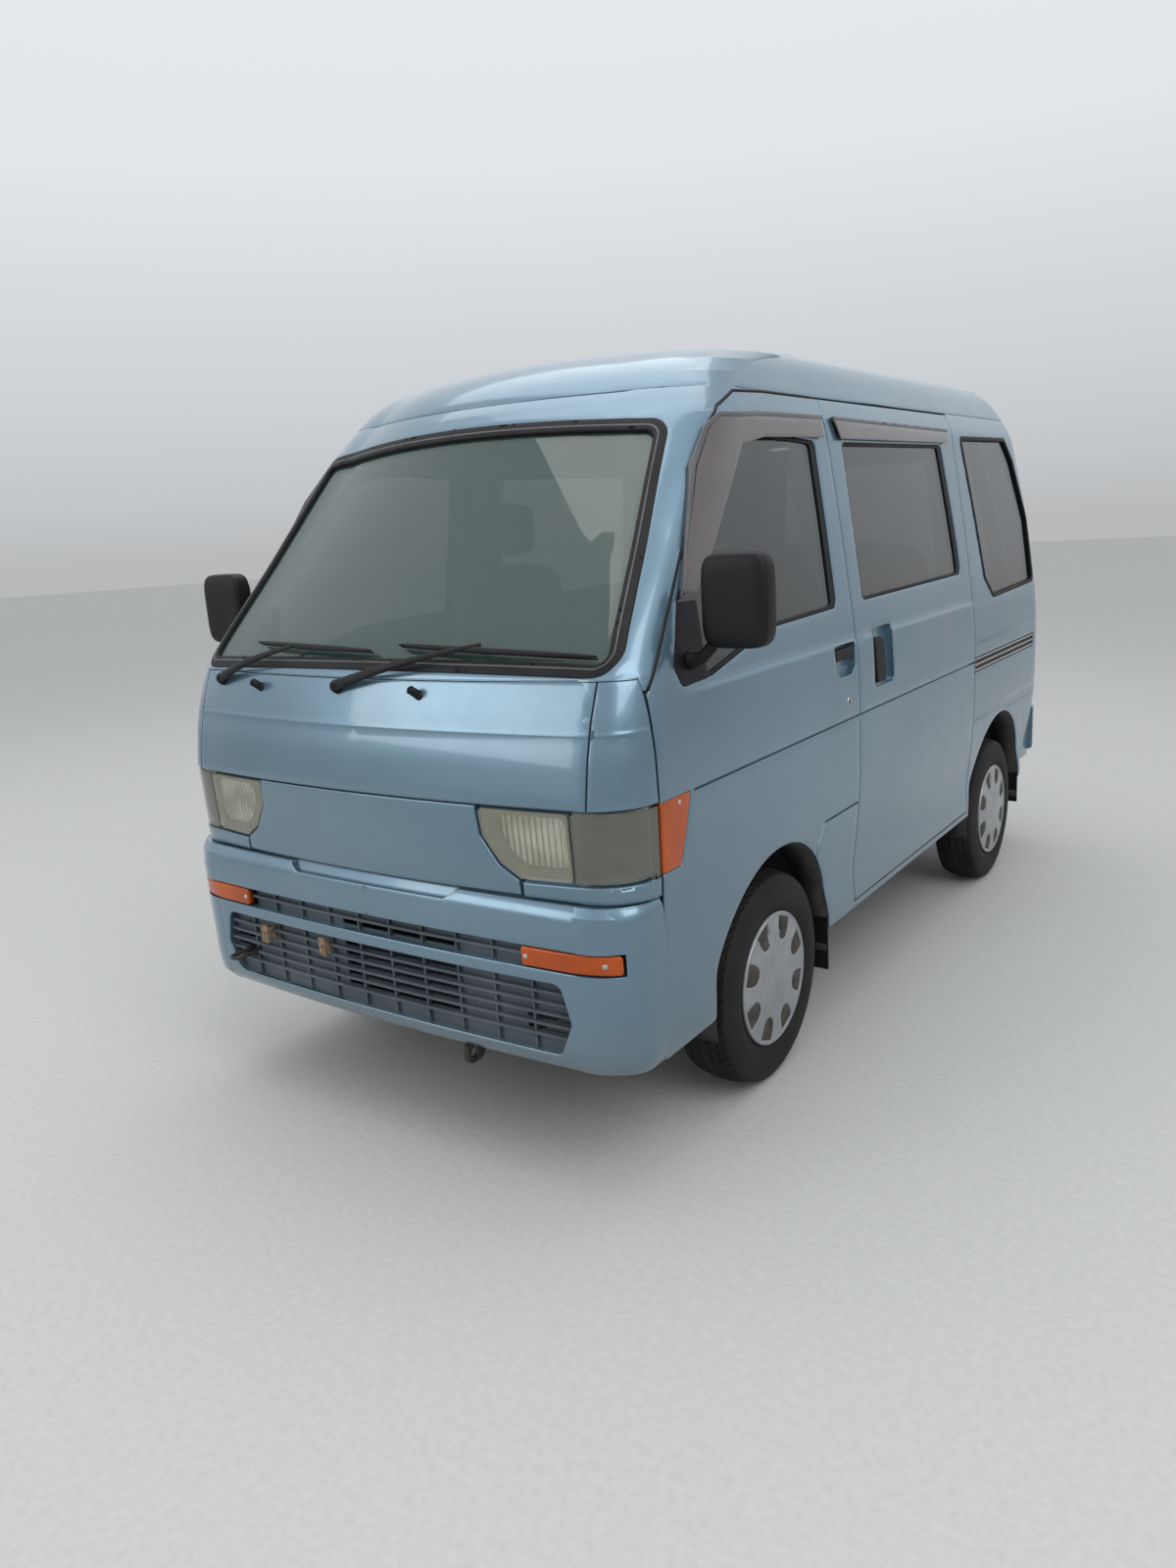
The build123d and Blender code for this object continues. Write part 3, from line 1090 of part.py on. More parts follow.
with BuildPart() as column:
    add(cylinder(COLUMN_START, on_column(46), 28))
    add(cylinder(on_column(60), on_column(12), 9))
with BuildPart() as dash_whole:
    add(dashboard.part)
    add(column.part)
place(dash_whole.part, "dashboard")
wheel_plane = Plane(origin=WHEEL_CENTRE, x_dir=(1, 0, 0), z_dir=column_dir)
with BuildPart() as steering_wheel:
    with BuildSketch(Plane(origin=WHEEL_CENTRE, x_dir=(1, 0, 0), z_dir=wheel_plane.y_dir)):
        with Locations((185, 0)):
            Circle(14)
    revolve(axis=Axis(WHEEL_CENTRE, column_dir))
    with BuildSketch(wheel_plane.offset(-40)):
        Circle(55)
    extrude(amount=40)
    with BuildSketch(wheel_plane.offset(-16)):
        Rectangle(360, 40)
        with Locations((0, -90)):
            Rectangle(40, 180)
    extrude(amount=12)
    add(cylinder(on_column(60), on_column(10), 9 + SEAT_GAP), mode=Mode.SUBTRACT)
place(steering_wheel.part, "steering_wheel")

# Wipers on the panel below the windscreen
with BuildPart() as wipers:
    for x in (-520, -60):
        add(cylinder((x, -1640, 1085), (x, -1560, 1085), 12))
        add(cylinder((x, -1625, 1085), (x + 400, -1560, 1180), 8))
    add(outer, mode=Mode.SUBTRACT)
place(wipers.part, "wipers")
with BuildPart() as slide_fittings:
    add(slide_rail.part)
    add(slide_handle.part)
    add(slide_visor.part)
place(both(slide_fittings.part), "slide_fittings")
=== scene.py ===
import math

import bmesh
import bpy
import numpy as np
from mathutils import Matrix, Vector
from mathutils.geometry import delaunay_2d_cdt


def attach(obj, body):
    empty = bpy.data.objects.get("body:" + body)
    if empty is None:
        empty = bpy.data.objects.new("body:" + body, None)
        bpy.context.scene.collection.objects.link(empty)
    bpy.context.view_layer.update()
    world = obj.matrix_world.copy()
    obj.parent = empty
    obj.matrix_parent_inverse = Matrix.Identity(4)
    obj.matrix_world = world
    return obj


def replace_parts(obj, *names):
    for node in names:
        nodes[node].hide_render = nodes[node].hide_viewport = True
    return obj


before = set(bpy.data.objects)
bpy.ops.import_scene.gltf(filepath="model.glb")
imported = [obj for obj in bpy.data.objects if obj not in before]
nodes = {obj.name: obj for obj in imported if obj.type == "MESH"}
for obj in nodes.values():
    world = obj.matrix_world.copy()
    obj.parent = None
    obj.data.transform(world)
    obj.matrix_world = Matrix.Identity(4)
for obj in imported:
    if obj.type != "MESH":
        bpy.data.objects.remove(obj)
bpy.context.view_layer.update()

# The body is modelled level in millimetres, as the CAD source has it, then pitched about the front hubs.
HUB_Y, HUB_Z, RAKE = -940.0, 271.0, math.radians(0.95)
WHEELBASE = 1900.0
REAR_HUB = (HUB_Y + WHEELBASE * math.cos(RAKE), HUB_Z - WHEELBASE * math.sin(RAKE))

# z, half width, front, front bow, corner x, corner y, rear, rear bow, rear x, rear y
LEVELS = np.array([
    (286, 676, -1590, 20, 560, -1480, 1560, 10, 560, 1440),
    (325, 678, -1592, 20, 560, -1478, 1580, 10, 560, 1450),
    (400, 671, -1596, 20, 560, -1476, 1600, 10, 556, 1455),
    (520, 685, -1604, 22, 565, -1474, 1606, 12, 556, 1455),
    (610, 693, -1614, 26, 570, -1470, 1609, 12, 556, 1455),
    (700, 697, -1628, 34, 572, -1467, 1610, 12, 556, 1455),
    (857, 697.5, -1638, 36, 572, -1465, 1610, 12, 556, 1455),
    (955, 695.5, -1626, 40, 570, -1455, 1610, 12, 554, 1455),
    (1030, 689, -1610, 44, 566, -1445, 1609, 12, 550, 1455),
    (1107, 681, -1588, 52, 558, -1422, 1607, 14, 545, 1455),
    (1192, 670, -1534, 62, 535, -1335, 1602, 16, 535, 1453),
    (1347, 649, -1416, 76, 500, -1180, 1580, 18, 505, 1440),
    (1501, 626, -1298, 83, 460, -1060, 1545, 20, 475, 1405),
    (1631, 606, -1198, 86, 420, -930, 1507, 14, 450, 1370),
    (1690, 578, -1150, 88, 385, -860, 1480, 14, 425, 1345),
    (1730, 560, -1118, 84, 360, -790, 1468, 26, 400, 1310),
    (1765, 542, -1065, 80, 330, -690, 1450, 28, 370, 1250),
    (1795, 515, -970, 74, 290, -480, 1412, 30, 330, 1150),
    (1817, 460, -820, 66, 240, -260, 1350, 30, 290, 1020),
    (1832, 370, -610, 56, 190, -60, 1255, 26, 230, 860),
    (1840, 230, -330, 40, 110, 120, 1110, 20, 140, 700),
    (1842, 60, 120, 12, 30, 260, 640, 6, 40, 520),
], dtype=float)
GUTTER_Z = 1690.0
SKIN_LIFT = 2.6
SKIN_DEPTH = 6.0


def smooth_table(knots, values, width):
    """Piecewise linear values over knots, averaged with a bell of the given width; ends carried on straight."""
    at = np.arange(knots[0], knots[-1], 1.0)
    pad = int(4 * width)
    first = (values[1] - values[0]) / (knots[1] - knots[0])
    last = (values[-1] - values[-2]) / (knots[-1] - knots[-2])
    wide = np.arange(-pad, len(at) + pad, 1.0) + knots[0]
    data = np.stack([np.interp(wide, knots, values[:, i]) for i in range(values.shape[1])], axis=1)
    low, high = wide < knots[0], wide > knots[-1]
    data[low] = values[0] + (wide[low] - knots[0])[:, None] * first
    data[high] = values[-1] + (wide[high] - knots[-1])[:, None] * last
    bell = np.exp(-0.5 * (np.arange(-pad, pad + 1) / width) ** 2)
    bell /= bell.sum()
    data = np.stack([np.convolve(data[:, i], bell, mode="valid") for i in range(values.shape[1])], axis=1)
    return at, data


class Skin:
    """An outer surface point(u, s): u runs round the left half in plan, from the front centre to the rear centre,
    and s runs up the section. Each plan outline is a front arc, a corner arc, the side, a corner arc and a
    rear arc."""

    def __init__(self, levels, width, near=0.28, far=0.72, reach=26.0):
        rise, narrowing, rake = np.abs(np.diff(levels[:, :3], axis=0)).T
        steps = rise + 0.35 * narrowing + 0.35 * rake
        knots = np.concatenate([[0.0], np.cumsum(steps)])
        self.at, self.table = smooth_table(knots, levels, width)
        self.near, self.far, self.reach = near, far, reach
        self.marks = np.array([0.0, 560.0, 760.0, 3560.0, 3760.0, 4320.0])
        self.top = self.at[-1]

    def s_of(self, z):
        """The section length at which the wall has height z, below the roof's flat part."""
        return np.interp(z, self.table[:, 0], self.at)

    def raw(self, u, s):
        u = np.asarray(u, float)
        row = [np.interp(s, self.at, self.table[:, i]) for i in range(10)]
        z, half, front, bow, cx, cy, rear, rbow, rx, ry = row
        u = np.where(u < 0, -u, u)
        over = u > self.marks[5]
        u = np.where(over, 2 * self.marks[5] - u, u)
        m = self.marks
        fy = front + bow
        x = np.zeros_like(u)
        y = np.zeros_like(u)
        t = np.clip((u - m[0]) / (m[1] - m[0]), 0, 1)
        a = u <= m[1]
        x = np.where(a, t * cx, x)
        y = np.where(a, front + bow * t * t, y)
        for low, p0, p2, ends in ((1, (cx, fy), (half, cy), 0), (3, (half, ry), (rx, rear - rbow), 1)):
            t = np.clip((u - m[low]) / (m[low + 1] - m[low]), 0, 1)
            here = (u > m[low]) & (u <= m[low + 1])
            if ends == 0:
                mid = (p0[0] + self.far * (p2[0] - p0[0]), p0[1] + self.near * (p2[1] - p0[1]))
            else:
                mid = (p2[0] + self.far * (p0[0] - p2[0]), p2[1] - self.near * (p2[1] - p0[1]))
            k0, k1, k2 = (1 - t) * (1 - 2 * t), 4 * t * (1 - t), t * (2 * t - 1)
            x = np.where(here, k0 * p0[0] + k1 * mid[0] + k2 * p2[0], x)
            y = np.where(here, k0 * p0[1] + k1 * mid[1] + k2 * p2[1], y)
        t = (u - m[2]) / (m[3] - m[2])
        here = (u > m[2]) & (u <= m[3])
        x = np.where(here, half, x)
        y = np.where(here, cy + t * (ry - cy), y)
        t = np.clip((m[5] - u) / (m[5] - m[4]), 0, 1)
        here = u > m[4]
        x = np.where(here, t * rx, x)
        y = np.where(here, rear - rbow * t * t, y)
        return x, y, z, over

    def point(self, u, s):
        """The surface with the joins between arcs eased, as an n by 3 array."""
        u = np.atleast_1d(np.asarray(u, float))
        s = np.broadcast_to(np.asarray(s, float), u.shape)
        total = np.zeros((len(u), 3))
        weights = 0.0
        for k in (-2, -1, 0, 1, 2):
            w = math.exp(-0.5 * (k / 1.1) ** 2)
            v = u + k * self.reach * 0.5
            x, y, z, over = self.raw(v, s)
            x = np.where((v < 0) | over, -x, x)
            total += w * np.stack([x, y, z], axis=1)
            weights += w
        total /= weights
        total[u <= 1e-6, 0] = 0.0
        total[u >= self.marks[5] - 1e-6, 0] = 0.0
        return total

    def normal(self, u, s):
        """The outward unit normal."""
        u = np.atleast_1d(np.asarray(u, float))
        s = np.broadcast_to(np.asarray(s, float), u.shape)
        e = 4.0
        lo, hi = np.clip(s - e, 0, self.top), np.clip(s + e, 0, self.top)
        along = self.point(u + e, s) - self.point(u - e, s)
        at_front = u < e
        at_rear = u > self.marks[5] - e
        along[at_front] = (self.point(u[at_front] + e, s[at_front]) * [1, 0, 0])
        along[at_rear] = (self.point(u[at_rear] - e, s[at_rear]) * [-1, 0, 0])
        up = self.point(u, hi) - self.point(u, lo)
        n = np.cross(along, up)
        return n / np.maximum(np.linalg.norm(n, axis=1, keepdims=True), 1e-9)

    def locate(self, points, plane):
        """Domain places of outline points: plane 'side' gives (y, z), 'front' or 'rear' (x, z)."""
        out = []
        fan = np.linspace(self.marks[0], self.marks[5], 865)
        for a, z in points:
            s = float(self.s_of(min(max(z, self.table[0, 0]), self.table[-1, 0])))
            ring = self.point(fan, s)
            if plane == "side":
                u = np.interp(a, ring[:, 1], fan)
            elif plane == "front":
                half = len(fan) // 2
                u = np.interp(a, ring[:half, 0], fan[:half])
            else:
                half = len(fan) // 2
                u = np.interp(a, ring[half:, 0][::-1], fan[half:][::-1])
            out.append((float(u), s))
        return out


def densify(points, step):
    """The closed outline with points no further apart than step."""
    out = []
    for (ax, ay), (bx, by) in zip(points, points[1:] + points[:1]):
        n = max(1, int(math.ceil(math.hypot(bx - ax, by - ay) / step)))
        out += [(ax + (bx - ax) * i / n, ay + (by - ay) * i / n) for i in range(n)]
    return out


def rounded(points, radius, steps=6):
    """The closed outline with each corner turned by an arc of the given radius."""
    out = []
    n = len(points)
    for i in range(n):
        p = np.array(points[i], float)
        a = np.array(points[i - 1], float) - p
        b = np.array(points[(i + 1) % n], float) - p
        la, lb = np.linalg.norm(a), np.linalg.norm(b)
        a, b = a / la, b / lb
        half = math.acos(max(-1.0, min(1.0, float(a @ b)))) / 2
        if half > math.pi / 2 - 0.02 or radius <= 0:
            out.append(tuple(p))
            continue
        r = radius
        cut = min(r / math.tan(half), 0.45 * la, 0.45 * lb)
        r = cut * math.tan(half)
        mid = a + b
        centre = p + mid / np.linalg.norm(mid) * (r / math.sin(half))
        start = p + a * cut - centre
        end = p + b * cut - centre
        t0 = math.atan2(start[1], start[0])
        turn = math.atan2(end[1], end[0]) - t0
        turn = (turn + math.pi) % (2 * math.pi) - math.pi
        for k in range(steps + 1):
            t = t0 + turn * k / steps
            out.append((centre[0] + r * math.cos(t), centre[1] + r * math.sin(t)))
    return out


def grown(points, amount):
    """The closed outline moved outwards by amount, corners mitred."""
    pts = np.array(points, float)
    area = 0.5 * np.sum(pts[:, 0] * np.roll(pts[:, 1], -1) - np.roll(pts[:, 0], -1) * pts[:, 1])
    sign = 1.0 if area > 0 else -1.0
    out = []
    n = len(pts)
    for i in range(n):
        a = pts[i] - pts[i - 1]
        b = pts[(i + 1) % n] - pts[i]
        na = np.array([a[1], -a[0]]) / max(np.linalg.norm(a), 1e-9)
        nb = np.array([b[1], -b[0]]) / max(np.linalg.norm(b), 1e-9)
        m = na + nb
        length = np.linalg.norm(m)
        if length < 1e-6:
            m, length = na, 1.0
        m = m / length
        scale = 1.0 / max(float(m @ na), 0.4)
        out.append(tuple(pts[i] + sign * amount * scale * m))
    return out


def inside(points, x, y):
    """Which of the places (x, y) lie in the closed outline."""
    hit = np.zeros(len(x), bool)
    n = len(points)
    for i in range(n):
        (ax, ay), (bx, by) = points[i - 1], points[i]
        if ay == by:
            continue
        cross = (ay > y) != (by > y)
        at = ax + (y - ay) * (bx - ax) / (by - ay)
        hit ^= cross & (x < at)
    return hit


def pitch(points, mirror=False):
    """Level body millimetres to the frame's metres."""
    p = np.array(points, float)
    if mirror:
        p[:, 0] = -p[:, 0]
    y, z = p[:, 1] - HUB_Y, p[:, 2] - HUB_Z
    out = np.empty_like(p)
    out[:, 0] = p[:, 0]
    out[:, 1] = HUB_Y + y * math.cos(RAKE) - z * math.sin(RAKE)
    out[:, 2] = HUB_Z + y * math.sin(RAKE) + z * math.cos(RAKE)
    return out / 1000.0


def new_object(name, points, faces, mat, body, smooth=True):
    """A mesh object riding on one body, from points in metres and lists of face arrays."""
    mesh = bpy.data.meshes.new(name)
    mesh.from_pydata(points.tolist(), [], [face for block in faces for face in block.tolist()])
    mesh.validate()
    mesh.polygons.foreach_set("use_smooth", np.full(len(mesh.polygons), smooth))
    mesh.materials.append(mat)
    mesh.update()
    obj = bpy.data.objects.new(name, mesh)
    bpy.context.scene.collection.objects.link(obj)
    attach(obj, body)
    return obj


def grid_faces(rows, columns, wrap_rows=False, wrap_columns=False):
    """The quads of a grid of points, row after row, joined round where it closes."""
    r = np.arange(rows if wrap_rows else rows - 1)
    c = np.arange(columns if wrap_columns else columns - 1)
    r, c = np.meshgrid(r, c, indexing="ij")
    r, c = r.ravel(), c.ravel()
    r2, c2 = (r + 1) % rows, (c + 1) % columns
    return np.stack([r * columns + c, r * columns + c2, r2 * columns + c2, r2 * columns + c], axis=1)


def tidy_mesh(obj):
    """Merges doubled points and turns every face outwards."""
    bm = bmesh.new()
    bm.from_mesh(obj.data)
    bmesh.ops.remove_doubles(bm, verts=bm.verts, dist=1e-5)
    bmesh.ops.recalc_face_normals(bm, faces=bm.faces)
    bm.to_mesh(obj.data)
    bm.free()
    return obj


def carried(path, section, up, closed=False):
    """A closed section (side, height) carried along a path: point = p + side * (up x t) + height * n,
    with t the path's direction and n the part of up square to it; open ends are capped by their middle."""
    p = np.array(path, float)
    ahead = np.roll(p, -1, axis=0) - np.roll(p, 1, axis=0)
    if not closed:
        ahead[0], ahead[-1] = p[1] - p[0], p[-1] - p[-2]
    t = ahead / np.linalg.norm(ahead, axis=1, keepdims=True)
    across = np.cross(np.broadcast_to(np.array(up, float), p.shape), t)
    across /= np.linalg.norm(across, axis=1, keepdims=True)
    n = np.cross(t, across)
    ring = np.array(section, float)
    scale = ring if ring.ndim == 3 else np.broadcast_to(ring, (len(p), *ring.shape))
    pts = p[:, None] + scale[..., :1] * across[:, None] + scale[..., 1:] * n[:, None]
    rows, columns = pts.shape[:2]
    faces = [grid_faces(rows, columns, closed, True)]
    pts = pts.reshape(-1, 3)
    if not closed:
        around = np.arange(columns)
        caps = [np.stack([around, np.roll(around, -1), np.full(columns, len(pts))], axis=1)]
        last = around + (rows - 1) * columns
        caps.append(np.stack([np.roll(last, -1), last, np.full(columns, len(pts) + 1)], axis=1))
        pts = np.concatenate([pts, p[:1], p[-1:]])
        faces += caps
    return pts, faces


def round_section(radius, steps=12, flat=1.0):
    """A circle, or an oval with its height times flat."""
    t = np.arange(steps) / steps * 2 * math.pi
    return np.stack([radius * np.cos(t), radius * flat * np.sin(t)], axis=1)


def tapered(radii, steps, flat=1.0):
    """A round or oval section for each point of a path, from a list of radii."""
    return np.asarray(radii, float)[:, None, None] * round_section(1.0, steps, flat)[None]


def pillow(centre, size, power=0.35, rows=24, columns=40):
    """A block with rounded sides: each axis is half its size times cos or sin raised to a power under one."""
    v = np.linspace(-math.pi / 2, math.pi / 2, rows)[:, None]
    u = (np.arange(columns) / columns * 2 * math.pi)[None, :]

    def soft(w):
        return np.sign(w) * np.abs(w) ** power
    x = soft(np.cos(v)) * soft(np.cos(u)) * size[0] / 2
    y = soft(np.cos(v)) * soft(np.sin(u)) * size[1] / 2
    z = soft(np.sin(v)) * np.ones_like(u) * size[2] / 2
    pts = np.stack([x, y, z], axis=-1).reshape(-1, 3) + np.array(centre, float)
    return pts, [grid_faces(rows, columns, False, True)]


def region(skin, outlines, keep, step_u, step_s, u_range, s_range, lift=0.0, clear=0.45):
    """Triangles of the surface where keep(points) holds, with the outlines as exact edges.
    outlines: lists of (u, s) places, closed. Returns points, normals, triangles."""
    coords, edges = [], []
    for outline in outlines:
        first = len(coords)
        coords += outline
        edges += [(first + i, first + (i + 1) % len(outline)) for i in range(len(outline))]
    us = np.arange(u_range[0], u_range[1] + 0.1, step_u)
    ss = np.arange(s_range[0], s_range[1] + 0.1, step_s)
    us[-1] = u_range[1]
    ss[-1] = s_range[1]
    gu, gs = np.meshgrid(us, ss)
    gu, gs = gu.ravel(), gs.ravel()
    marks = np.array(coords) if coords else np.zeros((0, 2))
    ok = np.ones(len(gu), bool)
    reach = clear * min(step_u, step_s)
    for i in range(0, len(marks), 400):
        part = marks[i:i + 400]
        d = np.min((gu[:, None] - part[None, :, 0]) ** 2 + (gs[:, None] - part[None, :, 1]) ** 2, axis=1)
        ok &= d > reach ** 2
    grid = list(zip(gu[ok], gs[ok]))
    edge_u = [(u_range[0], s) for s in ss] + [(u_range[1], s) for s in ss]
    flat = [Vector((float(a), float(b))) for a, b in coords + grid + edge_u]
    verts, _, faces, _, _, _ = delaunay_2d_cdt(flat, edges, [], 0, 1e-4)
    uv = np.array([(v.x, v.y) for v in verts])
    tri = np.array([f for f in faces if len(f) == 3], int)
    mid = uv[tri].mean(axis=1)
    low, high = np.array([u_range, s_range]).T
    in_range = ((mid > low) & (mid < high)).all(axis=1)
    centre = skin.point(mid[:, 0], np.clip(mid[:, 1], 0, skin.top))
    tri = tri[in_range & keep(centre, mid)]
    used, back = np.unique(tri, return_inverse=True)
    uv = uv[used]
    tri = back.reshape(-1, 3)
    s = np.clip(uv[:, 1], 0, skin.top)
    normal = skin.normal(uv[:, 0], s)
    points = skin.point(uv[:, 0], s) + normal * lift
    a, b, c = points[tri[:, 0]], points[tri[:, 1]], points[tri[:, 2]]
    facing = np.einsum("ij,ij->i", np.cross(b - a, c - a), normal[tri[:, 0]])
    tri[facing < 0] = tri[facing < 0][:, ::-1]
    return points, normal, tri


def border(tri):
    """The directed edges that only one triangle has."""
    e = np.concatenate([tri[:, [0, 1]], tri[:, [1, 2]], tri[:, [2, 0]]])
    span = tri.max() + 1
    return e[~np.isin(e[:, 0] * span + e[:, 1], e[:, 1] * span + e[:, 0])]


def rimmed(points, normal, tri, depth, radius, join):
    """Closes an open sheet into a shell: each border point p has an outward direction o, the mean of its
    edges' (edge x normal); its edge is p - o r (1 - sin t) - n r (1 - cos t) for t up to a right angle, then
    p - n depth, and the back is the sheet again at p - n depth. Where join is true the centre line stays
    open for the twin."""
    edges = border(tri)
    on_line = np.abs(points[:, 0]) < 0.4
    if join:
        edges = edges[~(on_line[edges[:, 0]] & on_line[edges[:, 1]])]
    away = np.cross(points[edges[:, 1]] - points[edges[:, 0]], normal[edges[:, 0]] + normal[edges[:, 1]])
    away /= np.maximum(np.linalg.norm(away, axis=1, keepdims=True), 1e-9)
    total, one = np.zeros_like(points), np.zeros_like(points)
    for k in (0, 1):
        np.add.at(total, edges[:, k], away)
        one[edges[:, k]] = away
    rim = np.unique(edges)
    out = total[rim] / np.maximum(np.linalg.norm(total[rim], axis=1, keepdims=True), 1e-9)
    reach = radius / np.maximum(np.einsum("ij,ij->i", out, one[rim]), 0.5)[:, None]
    if join:
        out[on_line[rim], 0] = 0.0
    p, n = points[rim], normal[rim]
    rings = [p - out * reach * (1 - math.sin(t)) - n * radius * (1 - math.cos(t))
             for t in np.linspace(0, math.pi / 2, 4)]
    rings.append(p - n * depth)
    pts = points.copy()
    pts[rim] = rings[0]
    place = np.zeros(len(points), int)
    place[rim] = np.arange(len(rim))
    ids = [rim] + [len(points) + len(rim) * k + np.arange(len(rim)) for k in range(4)]
    a, b = place[edges[:, 0]], place[edges[:, 1]]
    quads = [np.stack([ids[k][a], ids[k + 1][a], ids[k + 1][b], ids[k][b]], axis=1) for k in range(4)]
    inner = np.setdiff1d(np.arange(len(points)), rim)
    back = np.zeros(len(points), int)
    back[rim] = ids[4]
    back[inner] = len(points) + 4 * len(rim) + np.arange(len(inner))
    pts = np.concatenate([pts, *rings[1:], points[inner] - normal[inner] * depth])
    return pts, [tri, *quads, back[tri[:, ::-1]]]


def both_halves(points, faces):
    """A left half and its mirror, joined along the centre line."""
    n = len(points)
    on_line = np.abs(points[:, 0]) < 0.4
    points = points.copy()
    points[on_line, 0] = 0.0
    index = np.where(on_line, np.arange(n), np.arange(n) + n)
    whole = np.concatenate([points, points * [-1, 1, 1]])
    blocks = faces + [index[block[:, ::-1]] for block in faces]
    used = np.unique(np.concatenate([block.ravel() for block in blocks]))
    place = np.zeros(len(whole), int)
    place[used] = np.arange(len(used))
    return whole[used], [place[block] for block in blocks]


def flipped(faces):
    """The faces turned round, for a mirrored piece."""
    return [block[:, ::-1] for block in faces]


def pair(name, points, faces, bodies, mat, replaced=None):
    """A left piece and its mirror image, each riding on its own body."""
    made = []
    for end, mirror in (("left", False), ("right", True)):
        obj = new_object(f"{name}_{end}", pitch(points, mirror), flipped(faces) if mirror else faces, mat,
                         bodies.replace("*", end))
        if replaced:
            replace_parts(obj, replaced.replace("*", end))
        made.append(obj)
    return made


# Materials


def material(name):
    """A new material with its tree and its shader."""
    mat = bpy.data.materials.new(name)
    mat.use_nodes = True
    nt = mat.node_tree
    return mat, nt, nt.nodes["Principled BSDF"]


def node(nt, kind, **values):
    """A node with some of its inputs and settings given."""
    n = nt.nodes.new(kind)
    for key, value in values.items():
        if key in n.inputs:
            n.inputs[key].default_value = value
        else:
            setattr(n, key, value)
    return n


def fed(nt, kind, sources, out, **values):
    """One output of a node whose inputs are fed by other nodes."""
    n = node(nt, kind, **values)
    for key, source in sources.items():
        nt.links.new(source, n.inputs[key])
    return n.outputs[out]


def place(nt):
    return nt.nodes.new("ShaderNodeTexCoord").outputs["Object"]


def axes(nt):
    """The X, Y and Z of a place on the piece."""
    n = nt.nodes.new("ShaderNodeSeparateXYZ")
    nt.links.new(place(nt), n.inputs["Vector"])
    return n.outputs


def noise(nt, scale, detail=3.0, rough=0.5):
    return fed(nt, "ShaderNodeTexNoise", {"Vector": place(nt)}, "Fac", Scale=scale, Detail=detail,
               Roughness=rough)


def flutes(nt, scale, distortion):
    """Upright flutes, as a wave along X."""
    return fed(nt, "ShaderNodeTexWave", {"Vector": place(nt)}, "Fac", Scale=scale, Distortion=distortion,
               Detail=1.0, bands_direction="X")


def ramp(nt, source, stops, kind="LINEAR"):
    """Colours or greys over a value, from (place, colour) stops."""
    n = nt.nodes.new("ShaderNodeValToRGB")
    n.color_ramp.interpolation = kind
    while len(n.color_ramp.elements) < len(stops):
        n.color_ramp.elements.new(0.5)
    for e, (at, colour) in zip(n.color_ramp.elements, stops):
        e.position = at
        e.color = (*colour, 1.0) if isinstance(colour, tuple) else (colour, colour, colour, 1.0)
    nt.links.new(source, n.inputs["Fac"])
    return n.outputs["Color"]


def maths(nt, operation, a, b=0.5):
    """One sum of a fed value with another, or with a number."""
    n = node(nt, "ShaderNodeMath", operation=operation)
    nt.links.new(a, n.inputs[0])
    if isinstance(b, float):
        n.inputs[1].default_value = b
    else:
        nt.links.new(b, n.inputs[1])
    return n.outputs[0]


def faded(nt, source, start, end):
    """0 at start to 1 at end, and held beyond both."""
    return fed(nt, "ShaderNodeMapRange", {"Value": source}, "Result", clamp=True,
               **{"From Min": start, "From Max": end})


def laid(nt, base, share, colour):
    """A plain colour laid over the base by its share."""
    return fed(nt, "ShaderNodeMixRGB", {"Fac": share, "Color1": base}, "Color", Color2=(*colour, 1.0))


def shade(nt, b, key, source, *stops):
    """A ramp over a value, into one input of the shader."""
    nt.links.new(ramp(nt, source, stops), b.inputs[key])


def bump(nt, b, height, strength, distance):
    normal = fed(nt, "ShaderNodeBump", {"Height": height}, "Normal", Strength=strength, Distance=distance)
    nt.links.new(normal, b.inputs["Normal"])


def settings(b, **values):
    """Plain values of the shader's inputs, with _ for a space in their names."""
    for key, value in values.items():
        b.inputs[key.replace("_", " ")].default_value = value


def paint_material():
    """Light blue metallic under clear coat, with flake, a little dust and road film low down."""
    mat, nt, b = material("paint")
    xyz = axes(nt)
    base = ramp(nt, noise(nt, 2.2, 4.0, 0.55), [(0.3, (0.118, 0.200, 0.262)), (0.7, (0.142, 0.234, 0.302))])
    glint = ramp(nt, noise(nt, 900.0, 2.0, 0.6), [(0.35, 0.93), (0.75, 1.1)])
    flaked = fed(nt, "ShaderNodeMixRGB", {"Color1": base, "Color2": glint}, "Color", blend_type="MULTIPLY",
                 Fac=1.0)
    film = noise(nt, 14.0, 5.0, 0.65)
    dirt = maths(nt, "MULTIPLY", faded(nt, xyz["Z"], 0.42, 0.20), film)
    grimy = laid(nt, flaked, dirt, (0.16, 0.155, 0.14))
    stained = laid(nt, grimy, stain_mask(nt, xyz), (0.30, 0.235, 0.33))
    nt.links.new(stained, b.inputs["Base Color"])
    shade(nt, b, "Roughness", film, (0.3, 0.27), (0.8, 0.36))
    settings(b, Metallic=0.62, Coat_Weight=0.85, Coat_Roughness=0.06, Coat_IOR=1.5)
    return mat


def stain_mask(nt, xyz):
    """A faint faded patch behind the slide handle, on the left side only."""
    out = maths(nt, "GREATER_THAN", xyz["X"], 0.4)
    for axis, centre, width in (("Y", 0.42, 0.55), ("Z", 1.03, 0.13)):
        away = maths(nt, "ABSOLUTE", maths(nt, "SUBTRACT", xyz[axis], centre))
        out = maths(nt, "MULTIPLY", out, faded(nt, away, width, 0.0))
    return maths(nt, "MULTIPLY", out, ramp(nt, noise(nt, 7.0, 4.0, 0.6), [(0.42, 0.0), (0.7, 0.55)]))


